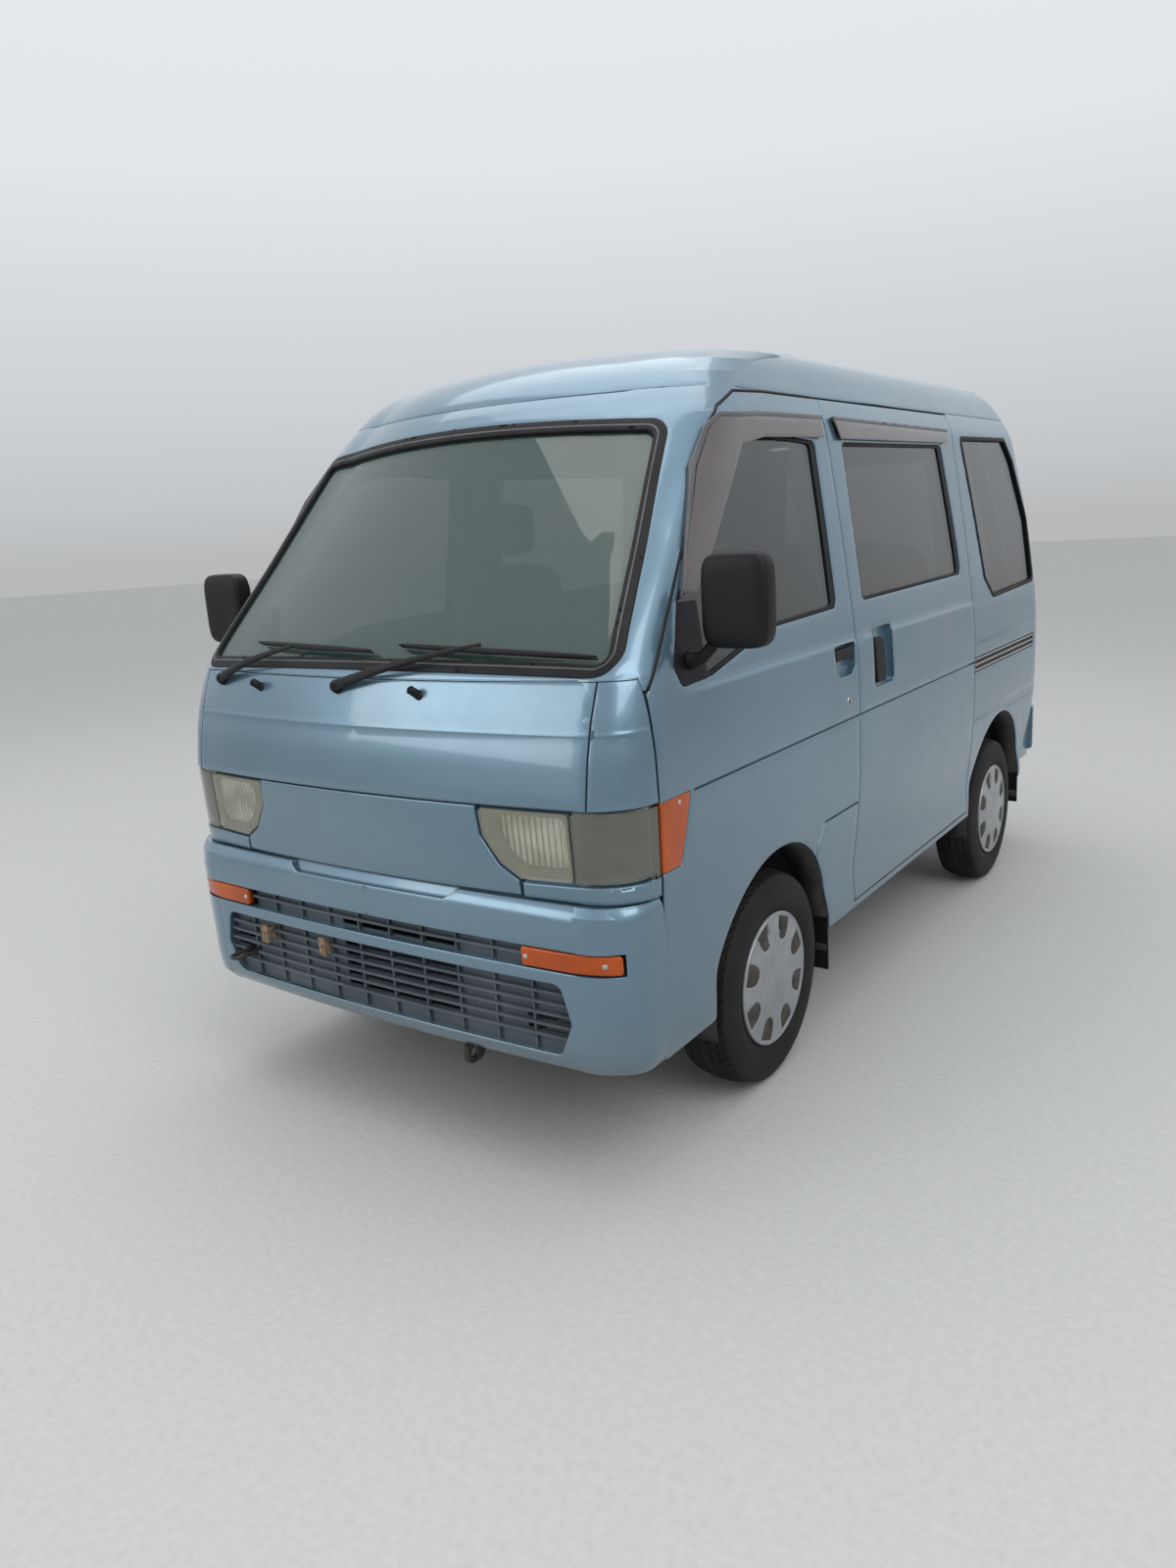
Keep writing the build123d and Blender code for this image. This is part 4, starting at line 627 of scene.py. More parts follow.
def plastic_material(name, dark, light, rough, grain=420.0, strength=0.25, coat=0.0, shine=0.5):
    """Moulded plastic or rubber: two close tones, a fine grain and uneven gloss."""
    mat, nt, b = material(name)
    tone = noise(nt, 5.0, 5.0, 0.6)
    shade(nt, b, "Base Color", tone, (0.35, dark), (0.7, light))
    shade(nt, b, "Roughness", tone, (0.3, rough), (0.75, min(1, rough + 0.12)))
    bump(nt, b, noise(nt, grain, 2.0, 0.5), strength, 0.0004)
    settings(b, Coat_Weight=coat, Specular_IOR_Level=shine)
    return mat


def metal_material(name, dark, light, rough, metallic=0.9, scale=30.0):
    """Metal with patches of dull film."""
    mat, nt, b = material(name)
    tone = noise(nt, scale, 5.0, 0.62)
    shade(nt, b, "Base Color", tone, (0.32, dark), (0.72, light))
    shade(nt, b, "Roughness", tone, (0.3, rough + 0.12), (0.75, rough))
    bump(nt, b, tone, 0.08, 0.0006)
    settings(b, Metallic=metallic)
    return mat


def glass_material(name, tint, alpha):
    """Thin glazing that mirrors the sky and lets the inside show a little, with faint dust."""
    mat, nt, b = material(name)
    shade(nt, b, "Roughness", noise(nt, 9.0, 5.0, 0.65), (0.4, 0.015), (0.8, 0.07))
    settings(b, Base_Color=(*tint, 1), Alpha=alpha, IOR=1.6, Coat_Weight=1.0, Coat_Roughness=0.01, Coat_IOR=1.6)
    return mat


def lens_material(name, tint, alpha, flute, depth):
    """A clear moulded lens: faint haze, and flutes as a wave in its thickness."""
    mat, nt, b = material(name)
    haze = noise(nt, 18.0, 4.0, 0.6)
    shade(nt, b, "Base Color", haze, (0.3, tint), (0.75, tuple(min(1.0, 1.25 * c) for c in tint)))
    shade(nt, b, "Roughness", haze, (0.3, 0.10), (0.8, 0.22))
    bump(nt, b, flutes(nt, flute, 0.1), 0.55, depth)
    settings(b, Alpha=alpha, Coat_Weight=1.0, Coat_Roughness=0.05)
    return mat


def reflector_material():
    """Silvered bowl behind fluted glass: fine upright flutes, and soft waves that break up what it mirrors."""
    mat, nt, b = material("reflector")
    cloud = noise(nt, 11.0, 3.0, 0.5)
    shade(nt, b, "Base Color", cloud, (0.35, (0.34, 0.34, 0.27)), (0.62, (0.86, 0.86, 0.76)))
    bump(nt, b, maths(nt, "ADD", flutes(nt, 22.0, 0.3), cloud), 0.8, 0.006)
    settings(b, Metallic=0.85, Roughness=0.18)
    return mat


def banded_material(name, bands, rough):
    """Lens colours in level bands by height, edges sharp, with fine prisms as a bump."""
    mat, nt, b = material(name)
    nt.links.new(ramp(nt, axes(nt)["Z"], bands, "CONSTANT"), b.inputs["Base Color"])
    bump(nt, b, fed(nt, "ShaderNodeTexChecker", {"Vector": place(nt)}, "Fac", Scale=240.0), 0.3, 0.0006)
    settings(b, Roughness=rough, Coat_Weight=1.0)
    return mat


def cover_material():
    """Silver lacquer over plastic; the deep ends of the pockets are painted near-black, a painted shade for the
    dark seen where the real cover is open, by the mesh's own hole value.
    """
    mat, nt, b = material("cover")
    tone = noise(nt, 12.0, 5.0, 0.62)
    lacquer = ramp(nt, tone, [(0.32, (0.26, 0.27, 0.28)), (0.72, (0.34, 0.35, 0.36))])
    # hole: how much painted shade lies over the lacquer, near-black at each pocket's deep end
    hole = node(nt, "ShaderNodeAttribute", attribute_name="hole").outputs["Fac"]
    nt.links.new(laid(nt, lacquer, hole, (0.012, 0.012, 0.012)), b.inputs["Base Color"])
    shade(nt, b, "Roughness", tone, (0.3, 0.42), (0.75, 0.30))
    bump(nt, b, tone, 0.06, 0.0006)
    settings(b, Metallic=0.6, Coat_Weight=0.4)
    return mat


PAINT = paint_material()
GLASS = glass_material("glass", (0.008, 0.012, 0.014), 0.60)
SCREEN = glass_material("screen_glass", (0.045, 0.085, 0.076), 0.50)
SEAL = plastic_material("seal", (0.004, 0.004, 0.005), (0.012, 0.012, 0.013), 0.45, 260.0, 0.15, 0.0, 0.22)
STRIP = plastic_material("lock_strip", (0.05, 0.052, 0.055), (0.09, 0.092, 0.095), 0.25, 300.0, 0.1)
BLACK = plastic_material("black_plastic", (0.004, 0.004, 0.005), (0.010, 0.010, 0.012), 0.42, 700.0, 0.35,
                         shine=0.22)
GREY = plastic_material("grey_plastic", (0.045, 0.060, 0.072), (0.080, 0.100, 0.115), 0.5, 500.0, 0.3)
INSIDE = plastic_material("inside_trim", (0.10, 0.11, 0.115), (0.16, 0.17, 0.175), 0.6, 300.0, 0.3)
SMOKE = plastic_material("smoke_visor", (0.048, 0.036, 0.036), (0.075, 0.058, 0.058), 0.12, 90.0, 0.05, 1.0)
UNDER = metal_material("underside", (0.012, 0.012, 0.012), (0.045, 0.04, 0.036), 0.6, 0.2)
STEEL = metal_material("steel", (0.03, 0.028, 0.026), (0.09, 0.08, 0.07), 0.5, 0.5)
BRIGHT = metal_material("bright_metal", (0.42, 0.42, 0.42), (0.62, 0.62, 0.61), 0.22, 0.95, 60.0)
HOUSING = metal_material("lamp_housing", (0.055, 0.06, 0.055), (0.13, 0.135, 0.12), 0.35, 0.6, 14.0)
RUST = metal_material("rusty_steel", (0.10, 0.055, 0.03), (0.33, 0.24, 0.16), 0.65, 0.25, 90.0)
AMBER = plastic_material("amber_lens", (0.30, 0.042, 0.001), (0.44, 0.075, 0.002), 0.14, 60.0, 0.1, 0.3, 0.3)
TAIL = banded_material("tail_lens", [
    (0.0, (0.38, 0.01, 0.008)), (0.727, (0.55, 0.52, 0.50)),
    (0.770, (0.42, 0.012, 0.01)), (0.855, (0.62, 0.15, 0.012)),
], 0.14)
LENS = lens_material("lamp_lens", (0.36, 0.36, 0.27), 0.26, 26.0, 0.0014)
REFLECTOR = reflector_material()
TYRE = plastic_material("tyre", (0.006, 0.006, 0.0065), (0.018, 0.0175, 0.017), 0.66, 300.0, 0.35, 0.0, 0.25)
COVER = cover_material()
SEATING = plastic_material("seat_cloth", (0.055, 0.058, 0.065), (0.10, 0.105, 0.115), 0.9, 1400.0, 0.5)
settings(SEATING.node_tree.nodes["Principled BSDF"], Sheen_Weight=0.35)

# Which finish each CAD node gets, by the start of its name; the painted body is the rest
look = {
    "tyre": TYRE, "wheel": STEEL, "knuckle": STEEL, "seats": SEATING, "dashboard": INSIDE,
    "steering_wheel": BLACK, "bumper_grille": GREY, "door_fittings": BLACK, "slide_fittings": BLACK,
    "wipers": BLACK, "mud_flaps": SEAL, "bumper_lamps": AMBER, "side_marker": AMBER, "tail_lamps": TAIL,
    "windscreen_seal": SEAL, "radiator": BLACK, "front_suspension": STEEL, "rear_axle": STEEL,
    "leaf_springs": STEEL, "chassis_frame": UNDER, "plate_brackets": RUST, "engine_block": STEEL,
    "propshaft": STEEL, "exhaust": STEEL, "fuel_tank": UNDER, "floor_pan": UNDER, "headlamps": LENS,
    "windscreen": SCREEN, "side_glass": GLASS, "door_glass": GLASS, "tailgate_glass": GLASS,
}


def dress(name, mat):
    """One finish all over a CAD node."""
    mesh = nodes[name].data
    mesh.materials.clear()
    mesh.materials.append(mat)


starts = sorted(look.items(), reverse=True)
for name in nodes:
    dress(name, next((mat for start, mat in starts if name.startswith(start)), PAINT))

# Outlines, in level body millimetres: (y, z) on the side, (x, z) at the front and the rear
DOOR = [
    (-1471, 280), (-1471, 1070), (-1443, 1103), (-1241, 1343), (-1070, 1568), (-976, 1641), (-886, 1678),
    (-740, 1684), (-428, 1684), (-428, 606), (-657, 606), (-700, 545), (-720, 280),
]
SLIDE = [(-422, 312), (-422, 1684), (627, 1684), (627, 312)]
GATE = [(-560, 585), (560, 585), (560, 1100), (455, 1668), (-455, 1668), (-560, 1100)]
FRONT_WINDOW = [
    (-1004, 1602), (-509, 1575), (-522, 1150), (-917, 1140), (-1216, 1073), (-1346, 1066), (-1372, 1112),
    (-1315, 1242),
]
SLIDE_WINDOW = [(-336, 1575), (-346, 1152), (536, 1161), (536, 1240), (500, 1583)]
QUARTER = [(718, 1612), (1262, 1618), (1339, 1541), (1440, 1312), (1438, 1072), (887, 1056), (800, 1126)]
GATE_WINDOW = [(-500, 1090), (500, 1090), (420, 1590), (-420, 1590)]
MARKER = [(-1473, 853), (-1352, 853), (-1357, 830), (-1377, 765), (-1401, 702), (-1473, 702)]
NOSE = [(0, 665), (432, 665), (431, 697), (384, 728), (344, 789), (339, 853), (0, 853)]
HOOD = [(0, 857), (602, 857), (602, 1102), (0, 1102)]
RECESS = [(-578, 1052), (-440, 1052), (-446, 985), (-470, 968), (-548, 968), (-572, 985)]
SLIDE_RECESS = [(-308, 1071), (-157, 1071), (-157, 905), (-308, 905)]
VISOR = [
    (-1300, 1251), (-1129, 1500), (-1046, 1585), (-1003, 1612), (-829, 1622), (-470, 1626), (-466, 1582),
    (-819, 1575), (-938, 1556), (-1152, 1336), (-1252, 1250),
]
VISOR_EDGE = [
    (-1310, 1240), (-1140, 1508), (-1052, 1594), (-1000, 1622), (-829, 1632), (-460, 1636), (-460, 1625),
    (-829, 1621), (-1001, 1611), (-1046, 1586), (-1130, 1501), (-1300, 1250),
]
SLIDE_VISOR = [(-385, 1627), (559, 1622), (544, 1588), (-360, 1581)]
SLIDE_VISOR_EDGE = [(-385, 1636), (559, 1631), (559, 1622), (-385, 1626)]
SAIL = [(-1346, 1066), (-1372, 1112), (-1318, 1236), (-1240, 1236), (-1240, 1070)]
FRONT_ARCH = (-925.0, 290.0, 320.0)
REAR_ARCH = (988.0, 272.0, 342.0)
SHUT = 6.0
FASCIA_Y = -1471 - SHUT - 2.5
# How far a skin reaches over the edge of the CAD panel under it
OVER = 0.8


def arch_outline(arch, steps=48):
    y, z, r = arch
    t = np.linspace(0, math.pi, steps)
    return [(y + r, z - 150), *zip(y + r * np.cos(t), z + r * np.sin(t)), (y - r, z - 150)]


def in_arch(arch, p):
    y, z, r = arch
    return (np.hypot(p[:, 1] - y, p[:, 2] - z) < r) | ((np.abs(p[:, 1] - y) < r) & (p[:, 2] < z))


def screen_outline(inset):
    """The windscreen's outline in front view: a rounded trapezium with bowed top and bottom edges."""
    loop = np.array(densify(rounded([(-640, 1107), (640, 1107), (533, 1615), (-533, 1615)], 45, 10), 12))
    x, z = loop[:, 0], loop[:, 1]
    low = z < 1300
    half, edge, crown = np.where(low, 640, 533), np.where(low, 1107, 1615), np.where(low, 15, 24)
    z = z + crown * (1 - np.minimum(1, (x / half) ** 2)) * np.maximum(0, 1 - np.abs(z - edge) / 60)
    loop = list(zip(x.tolist(), z.tolist()))
    return grown(loop, -inset) if inset else loop


body = Skin(LEVELS, 16.0)
# The bumper's sections, in the same columns as the body's; what lies behind the front panels isn't used
BUMPER = Skin(np.array([
    (292, 676, -1618, 18, 540, -1520, 1600, 10, 560, 1450),
    (312, 686, -1634, 18, 550, -1520, 1600, 10, 560, 1450),
    (345, 690, -1639, 18, 556, -1520, 1600, 10, 560, 1450),
    (480, 694, -1641, 18, 560, -1520, 1600, 10, 560, 1450),
    (600, 697, -1642, 18, 562, -1520, 1600, 10, 560, 1450),
    (640, 696, -1638, 20, 560, -1520, 1600, 10, 560, 1450),
    (658, 688, -1626, 22, 552, -1520, 1600, 10, 560, 1450),
], dtype=float), 5.0, 0.34, 0.74, 12.0)


def half_outline(points, plane, surface=None):
    """The left half of an outline that crosses the centre line, as domain places."""
    return (surface or body).locate([(max(x, 0.0), z) for x, z in points], plane)


def side(points, step=12.0, surface=None):
    return (surface or body).locate(densify(points, step), "side")


def swage(p):
    """How far a place stands out: a step under the side windows, fading out below, and a fine ridge round
    the nose."""
    y, z = p[:, 1], p[:, 2]
    ledge = np.clip((1060 - z) / 9, 0, 1) * np.clip((z - 930) / 110, 0, 1) ** 1.5
    ends = np.clip((y + 1345) / 90, 0, 1) * np.clip((640 - y) / 30, 0, 1)
    ridge = np.exp(-((z - 1003) / 4.0) ** 2) * np.clip((-1471 - y) / 14, 0, 1)
    return np.where(is_side(p) & (y > -1345), 3.4 * ledge * ends, 1.3 * ridge)


def level_lines(heights, low, high):
    """Places along level lines of the body, so that the mesh follows a pressed line."""
    return [[(u, float(body.s_of(z))) for u in np.arange(low, high, 14.0)] for z in heights]


LEDGE = (1036.0, 1046.0, 1051.0, 1056.0, 1060.0)
RIDGE = (996.0, 999.5, 1003.0, 1006.5, 1010.0)


def build(name, outlines, keep, bodyname="body", mat=None, depth=SKIN_DEPTH, lift=SKIN_LIFT,
          step=22.0, u_range=(0.0, 4320.0), z_range=(None, None), mirror="both", radius=2.5, surface=None,
          replaced=None):
    """A shell laid on the surface: mirror 'both' joins the halves, 'pair' makes left and right twins."""
    surface = surface or body
    s_range = (0.0 if z_range[0] is None else float(surface.s_of(z_range[0])),
               surface.top if z_range[1] is None else float(surface.s_of(z_range[1])))
    pts, nrm, tri = region(surface, outlines, keep, step, step, u_range, s_range, lift)
    if mat is None and surface is body:
        pts = pts + nrm * swage(pts)[:, None]
    pts, faces = rimmed(pts, nrm, tri, depth, radius, mirror == "both")
    mat = mat or PAINT
    if mirror == "pair":
        return pair(name, pts, faces, bodyname, mat, replaced)
    pts, faces = both_halves(pts, faces)
    obj = new_object(name, pitch(pts), faces, mat, bodyname)
    if replaced:
        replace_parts(obj, replaced)
    return [obj]


def is_side(p):
    return p[:, 0] > 440


def side_patch(name, loop, bodyname, mat, depth, lift, radius=1.0, step=14.0, hole=None, replaced=None,
               clip=None):
    """A shell in one side outline, or in the ring between it and hole, mirrored to the other side."""
    def keep(p, uv):
        out = is_side(p) & inside(loop, p[:, 1], p[:, 2])
        if hole:
            out &= ~inside(hole, p[:, 1], p[:, 2])
        if clip:
            out &= clip(p)
        return out
    lines = [side(loop, 9)] + ([side(hole, 9)] if hole else [])
    ys, zs = [y for y, z in loop], [z for y, z in loop]
    reach = [(y, z) for y in (min(ys) - 60, max(ys) + 60) for z in (min(zs), max(zs))]
    reach = [float(u) for u, s in body.locate(reach, "side")]
    u_low, u_high = min(reach), max(reach)
    return build(name, lines, keep, bodyname, mat, depth, lift, step,
                 (max(u_low - 40, 330), u_high + 40), (max(min(zs) - 12, 287), min(max(zs) + 12, 1770)),
                 "pair", radius, None, replaced)


def front_patch(name, loop, bodyname, mat, depth, lift, radius=1.0, step=14.0, hole=None, replaced=None,
                plane="front", surface=None, u_range=(0.0, 1500.0), more=()):
    """A shell in one outline seen from the front or the rear, or in the ring between it and hole."""
    def keep(p, uv):
        out = (p[:, 1] < -300) if plane == "front" else (p[:, 1] > 1300)
        out &= inside(loop, p[:, 0], p[:, 2])
        return out & ~inside(hole, p[:, 0], p[:, 2]) if hole else out
    lines = [half_outline(densify(line, 9), plane, surface) for line in ([loop, hole] if hole else [loop])]
    lines += list(more)
    zs = [z for x, z in loop]
    return build(name, lines, keep, bodyname, mat, depth, lift, step, u_range,
                 (min(zs) - 12, max(zs) + 12), "both", radius, surface, replaced)


def shifted(points, beyond, amount):
    """The outline with its corners behind one place moved forwards, for a wide channel at the rear edge."""
    return [(y - amount if y > beyond else y, z) for y, z in points]


window_loop = rounded(FRONT_WINDOW, 22)
slide_loop = rounded(SLIDE_WINDOW, 22)
quarter_loop = rounded(QUARTER, 22)
gate_loop = rounded(GATE_WINDOW, 30)
screen_loop = screen_outline(0)
recess_loop = rounded(RECESS, 10)
slide_recess_loop = rounded(SLIDE_RECESS, 16)
door_cut, slide_cut, gate_cut = (grown(line, SHUT - OVER) for line in (DOOR, SLIDE, GATE))
# The tailgate's skin has a notch over each hinge, and the body's skin stays clear of its top edge as it opens
GATE_SWEEP_Z = 1685.0
notches = [(330, 1668), (330, 1661), (270, 1661), (270, 1668)]
notches += [(-x, z) for x, z in notches[::-1]]
gate_skin = GATE[:4] + notches + GATE[4:]
door_edge, slide_edge, gate_edge = (grown(line, OVER) for line in (DOOR, SLIDE, gate_skin))
GROOVE = (847.0, 853.0)


def off_groove(p, start, end):
    """Places clear of the dark line along the side."""
    on_line = (p[:, 2] > GROOVE[0]) & (p[:, 2] < GROOVE[1]) & (p[:, 1] > start) & (p[:, 1] < end)
    return ~on_line


def groove_lines(start, end):
    return [side([(start, GROOVE[0]), (end, GROOVE[0]), (end, GROOVE[1]), (start, GROOVE[1])], 16)]


# The fixed body: pillars, sills, rear quarters and the frame round the tailgate
def keep_body(p, uv):
    y, z = p[:, 1], p[:, 2]
    out = z < GUTTER_Z
    out &= ~(is_side(p) & inside(door_cut, y, z))
    out &= ~(is_side(p) & (y > FASCIA_Y) & (y < -1460) & (z < 1080))
    out &= ~(is_side(p) & inside(slide_cut, y, z))
    out &= ~(is_side(p) & inside(quarter_loop, y, z))
    out &= ~(is_side(p) & (in_arch(FRONT_ARCH, p) | in_arch(REAR_ARCH, p)))
    out &= ~((y > 1300) & inside(gate_cut, p[:, 0], z))
    out &= ~((y > 1300) & (z > 1660) & (z < GATE_SWEEP_Z) & (p[:, 0] < 460))
    out &= ~((y < -1000) & inside(screen_loop, p[:, 0], z))
    out &= ~((y < FASCIA_Y) & (z < 1104))
    out &= ~((y > 1489) & (z > 639) & (z < 906) & (p[:, 0] > 566))
    out &= z > 289
    out &= ~(is_side(p) & (y > 633) & (y < 1425) & (z > 811) & (z < 865))
    out &= ~((y > 1350) & (z < 353))
    return out


body_lines = [
    side(door_cut), side(slide_cut), side(quarter_loop, 8),
    side(arch_outline(FRONT_ARCH), 14), side(arch_outline(REAR_ARCH), 14),
    half_outline(densify(gate_cut, 14), "rear"), half_outline(densify(screen_loop, 12), "front"),
    half_outline(densify([(0, 1660), (460, 1660), (460, GATE_SWEEP_Z), (0, GATE_SWEEP_Z)], 14), "rear"),
    body.locate([(x, 1104) for x in np.arange(0, 640, 14)], "front")
    + side([(FASCIA_Y, 1104), (FASCIA_Y, 288)], 12)[:60],
    side([(1350, 289), (1350, 353), (1600, 353), (1600, 289)], 14),
    side([(633, 811), (1425, 811), (1425, 865), (633, 865)], 14),
    half_outline(densify([(566, 639), (566, 906), (720, 906), (720, 639)], 12), "rear"),
]
build("body_skin", body_lines, keep_body, z_range=(289, GUTTER_Z), step=24)
build("roof_skin", [], lambda p, uv: np.ones(len(p), bool), z_range=(GUTTER_Z + 1, None), step=24)


def keep_door(p, uv):
    y, z = p[:, 1], p[:, 2]
    out = is_side(p) & inside(door_edge, y, z) & ~in_arch(FRONT_ARCH, p) & (z > 289) & off_groove(p, -1340, 0)
    return out & ~inside(window_loop, y, z) & ~inside(MARKER, y, z) & ~inside(recess_loop, y, z)


door_lines = [
    side(door_edge), side(arch_outline(FRONT_ARCH), 14), side(window_loop, 8), side(MARKER, 8),
    side(recess_loop, 8), *groove_lines(-1340, -420), *level_lines(LEDGE, 900, 2300),
]
build("door_skin", door_lines, keep_door, "door_*", mirror="pair", z_range=(289, GUTTER_Z), u_range=(400, 3000),
      step=20)


def keep_slide(p, uv):
    y, z = p[:, 1], p[:, 2]
    out = is_side(p) & inside(slide_edge, y, z) & ~in_arch(REAR_ARCH, p) & off_groove(p, -500, 700)
    return out & ~inside(slide_loop, y, z) & ~inside(slide_recess_loop, y, z)


slide_lines = [
    side(slide_edge), side(arch_outline(REAR_ARCH), 14), side(slide_loop, 8), side(slide_recess_loop, 8),
    *groove_lines(-430, 635), *level_lines(LEDGE, 1800, 3300),
]
build("slide_skin", slide_lines, keep_slide, mirror="pair", z_range=(305, GUTTER_Z), u_range=(700, 3700),
      step=20)
front_patch("gate_skin", gate_edge, "tailgate", PAINT, SKIN_DEPTH, SKIN_LIFT, 2.5, 20, gate_loop,
            plane="rear", u_range=(3500, 4320))
HOOD_FULL = HOOD + [(-602, 1102), (-602, 857)]
front_patch("hood_skin", HOOD_FULL, "body", None, SKIN_DEPTH, SKIN_LIFT, 2.5, 16,
            more=level_lines(RIDGE, 0, 700))
NOSE_FULL = NOSE + [(-x, z) for x, z in NOSE[::-1] if x > 0]
front_patch("nose_skin", NOSE_FULL, "body", PAINT, SKIN_DEPTH, SKIN_LIFT, 2.5, 14)


def fascia(name, low, high, inner, mat, depth, lift, radius=2.5, replaced=None, below=None, hole=None,
           more=()):
    """A pair of shells from an inner x back round the corner to the line before the doors."""
    def keep(p, uv):
        out = (p[:, 1] < FASCIA_Y) & (p[:, 2] > low) & (p[:, 2] < high) & (p[:, 0] > inner)
        if hole:
            out &= ~inside(hole, p[:, 0], p[:, 2])
        return out & inside(below, p[:, 0], p[:, 2]) if below else out
    lines = list(more)
    lines.append(body.locate(densify([(inner, low), (inner, high)], 8), "front"))
    lines.append(side([(FASCIA_Y, low), (FASCIA_Y, high)], 8))
    lines += [[(u, float(body.s_of(z))) for u in np.arange(300, 1000, 10)] for z in (low, high)]
    for loop in (below, hole):
        if loop:
            lines.append(body.locate([(min(x, 690), z) for x, z in densify(loop, 8)], "front"))
    return build(name, lines, keep, "body", mat, depth, lift, 11, (200, 900), (low - 8, high + 8),
                 "pair", radius, None, replaced)


fascia("corner_skin", 857, 1102, 606, None, SKIN_DEPTH, SKIN_LIFT, more=level_lines(RIDGE, 500, 900))
STRIP_LINE = [(440, 663), (760, 663), (760, 701), (440, 693)]
fascia("lamp_strip_skin", 663, 702, 438, PAINT, SKIN_DEPTH, SKIN_LIFT, below=STRIP_LINE)

# Headlamps: a yellowed fluted lens over a silver bowl, with the position lamp at the corner
SPLIT_X = 560
front_lens = [(345, 848), (350, 790), (390, 731), (436, 701), (SPLIT_X, 703), (SPLIT_X, 848)]
corner_lens = [(SPLIT_X + 6, 848), (SPLIT_X + 6, 703), (760, 708), (760, 848)]
fascia("headlamp_lens", 700, 849, 340, LENS, 4.0, 0.5, 1.5, "headlamps", rounded(front_lens, 10))
CORNER_LENS = lens_material("position_lens", (0.10, 0.105, 0.085), 0.62, 12.0, 0.0006)
fascia("position_lens", 700, 849, SPLIT_X + 4, CORNER_LENS, 4.0, 0.5, 1.5, "headlamps",
       rounded(corner_lens, 6))
bowl_loop = rounded([(392, 836), (392, 790), (418, 748), (452, 724), (548, 724), (548, 836)], 18)
fascia("lamp_housing", 700, 849, 340, HOUSING, 2.0, -9.0, 0.8, None, front_lens, bowl_loop)
fascia("lamp_bowl", 700, 849, 340, REFLECTOR, 2.0, -15.0, 0.8, None, grown(bowl_loop, 3))
fascia("position_bowl", 700, 849, SPLIT_X + 2, REFLECTOR, 2.0, -14.0, 0.8,
       below=grown(corner_lens, 1))

# Side markers, bumper lamps with their screws, tail lamps
side_patch("marker_lens", grown(MARKER, -1.5), "door_*", AMBER, 12.0, 2.0, 3.0, 12,
           replaced="side_marker_*")
bumper_opening = rounded([(-530, 490), (530, 490), (552, 405), (520, 330), (-520, 330), (-552, 405)], 24)
notch = [(-261, 700), (-261, 652), (-235, 638), (235, 638), (261, 652), (261, 700)]
LAMP_BAR = (518.0, 566.0)


def keep_bumper(p, uv):
    x, y, z = p[:, 0], p[:, 1], p[:, 2]
    out = (y < FASCIA_Y) & (z > 293) & ~inside(bumper_opening, x, z) & ~inside(notch, x, z)
    return out & ~((z > LAMP_BAR[0]) & (z < LAMP_BAR[1]) & (x < 668) & (y < -1560))


bumper_lines = [
    half_outline(densify(bumper_opening, 8), "front", BUMPER),
    half_outline(densify(notch, 8), "front", BUMPER),
    side([(FASCIA_Y, 293), (FASCIA_Y, 655)], 10, BUMPER),
    half_outline(densify([(0, 518), (668, 518), (668, 566), (0, 566)], 8), "front", BUMPER),
]
build("bumper_skin", bumper_lines, keep_bumper, z_range=(293, 657), u_range=(0, 900), step=12, surface=BUMPER,
      depth=5)
lens_zone = rounded([(438, 521), (664, 521), (664, 563), (438, 563)], 8)
build("bumper_lens", [BUMPER.locate(densify(lens_zone, 5), "front")],
      lambda p, uv: (p[:, 1] < -1500) & inside(lens_zone, p[:, 0], p[:, 2]), "body", AMBER, 16.0, 2.5,
      8, (300, 760), (513, 571), "pair", 4.0, BUMPER, "bumper_lamps")
tail_zone = rounded([(569, 641), (569, 904), (720, 904), (720, 641)], 4)
build("tail_lens", [half_outline(densify(tail_zone, 8), "rear")],
      lambda p, uv: (p[:, 1] > 1491) & inside(tail_zone, np.minimum(p[:, 0], 700), p[:, 2]), "body", TAIL,
      14.0, 2.0, 10, (3400, 4000), (630, 915), "pair", 3.0, None, "tail_lamps")

# Glazing, set in from the skin, with its rubbers and run channels
for name, loop, bodies, replaced in (
    ("door_pane", window_loop, "door_*", "door_glass_*"), ("slide_pane", slide_loop, "body", "side_glass"),
    ("quarter_pane", quarter_loop, "body", "side_glass"),
):
    side_patch(name, loop, bodies, GLASS, 5.0, -5.0, 0.6, 26, replaced=replaced)
front_patch("gate_pane", gate_loop, "tailgate", GLASS, 5.0, -5.0, 0.6, 26,
            replaced="tailgate_glass", plane="rear", u_range=(3500, 4320))
front_patch("screen_pane", screen_outline(14), "body", SCREEN, 5.0, -5.0, 0.6, 24,
            replaced="windscreen")
front_patch("screen_rubber", screen_outline(-3), "body", SEAL, 14.0, 5.0, 4.5, 10, screen_outline(24),
            replaced="windscreen_seal")
front_patch("screen_strip", screen_outline(12), "body", STRIP, 3.0, 6.2, 1.2, 10,
            screen_outline(15.5))
front_patch("gate_rubber", grown(gate_loop, 2), "tailgate", SEAL, 10.0, 1.5, 3.0, 12,
            grown(gate_loop, -16), plane="rear", u_range=(3500, 4320))
side_patch("quarter_rubber", grown(quarter_loop, 5), "body", SEAL, 13.0, 5.5, 3.5, 10,
           grown(quarter_loop, -9))
for name, loop, outer_bodies, rear, wide in (
    ("door_channel", window_loop, "door_*", -560, 20.0), ("slide_channel", slide_loop, "body", 470, 24.0),
):
    inner = grown(shifted(loop, rear, wide), -9)
    side_patch(name, loop, outer_bodies, SEAL, 8.0, -0.5, 1.5, 10, inner)

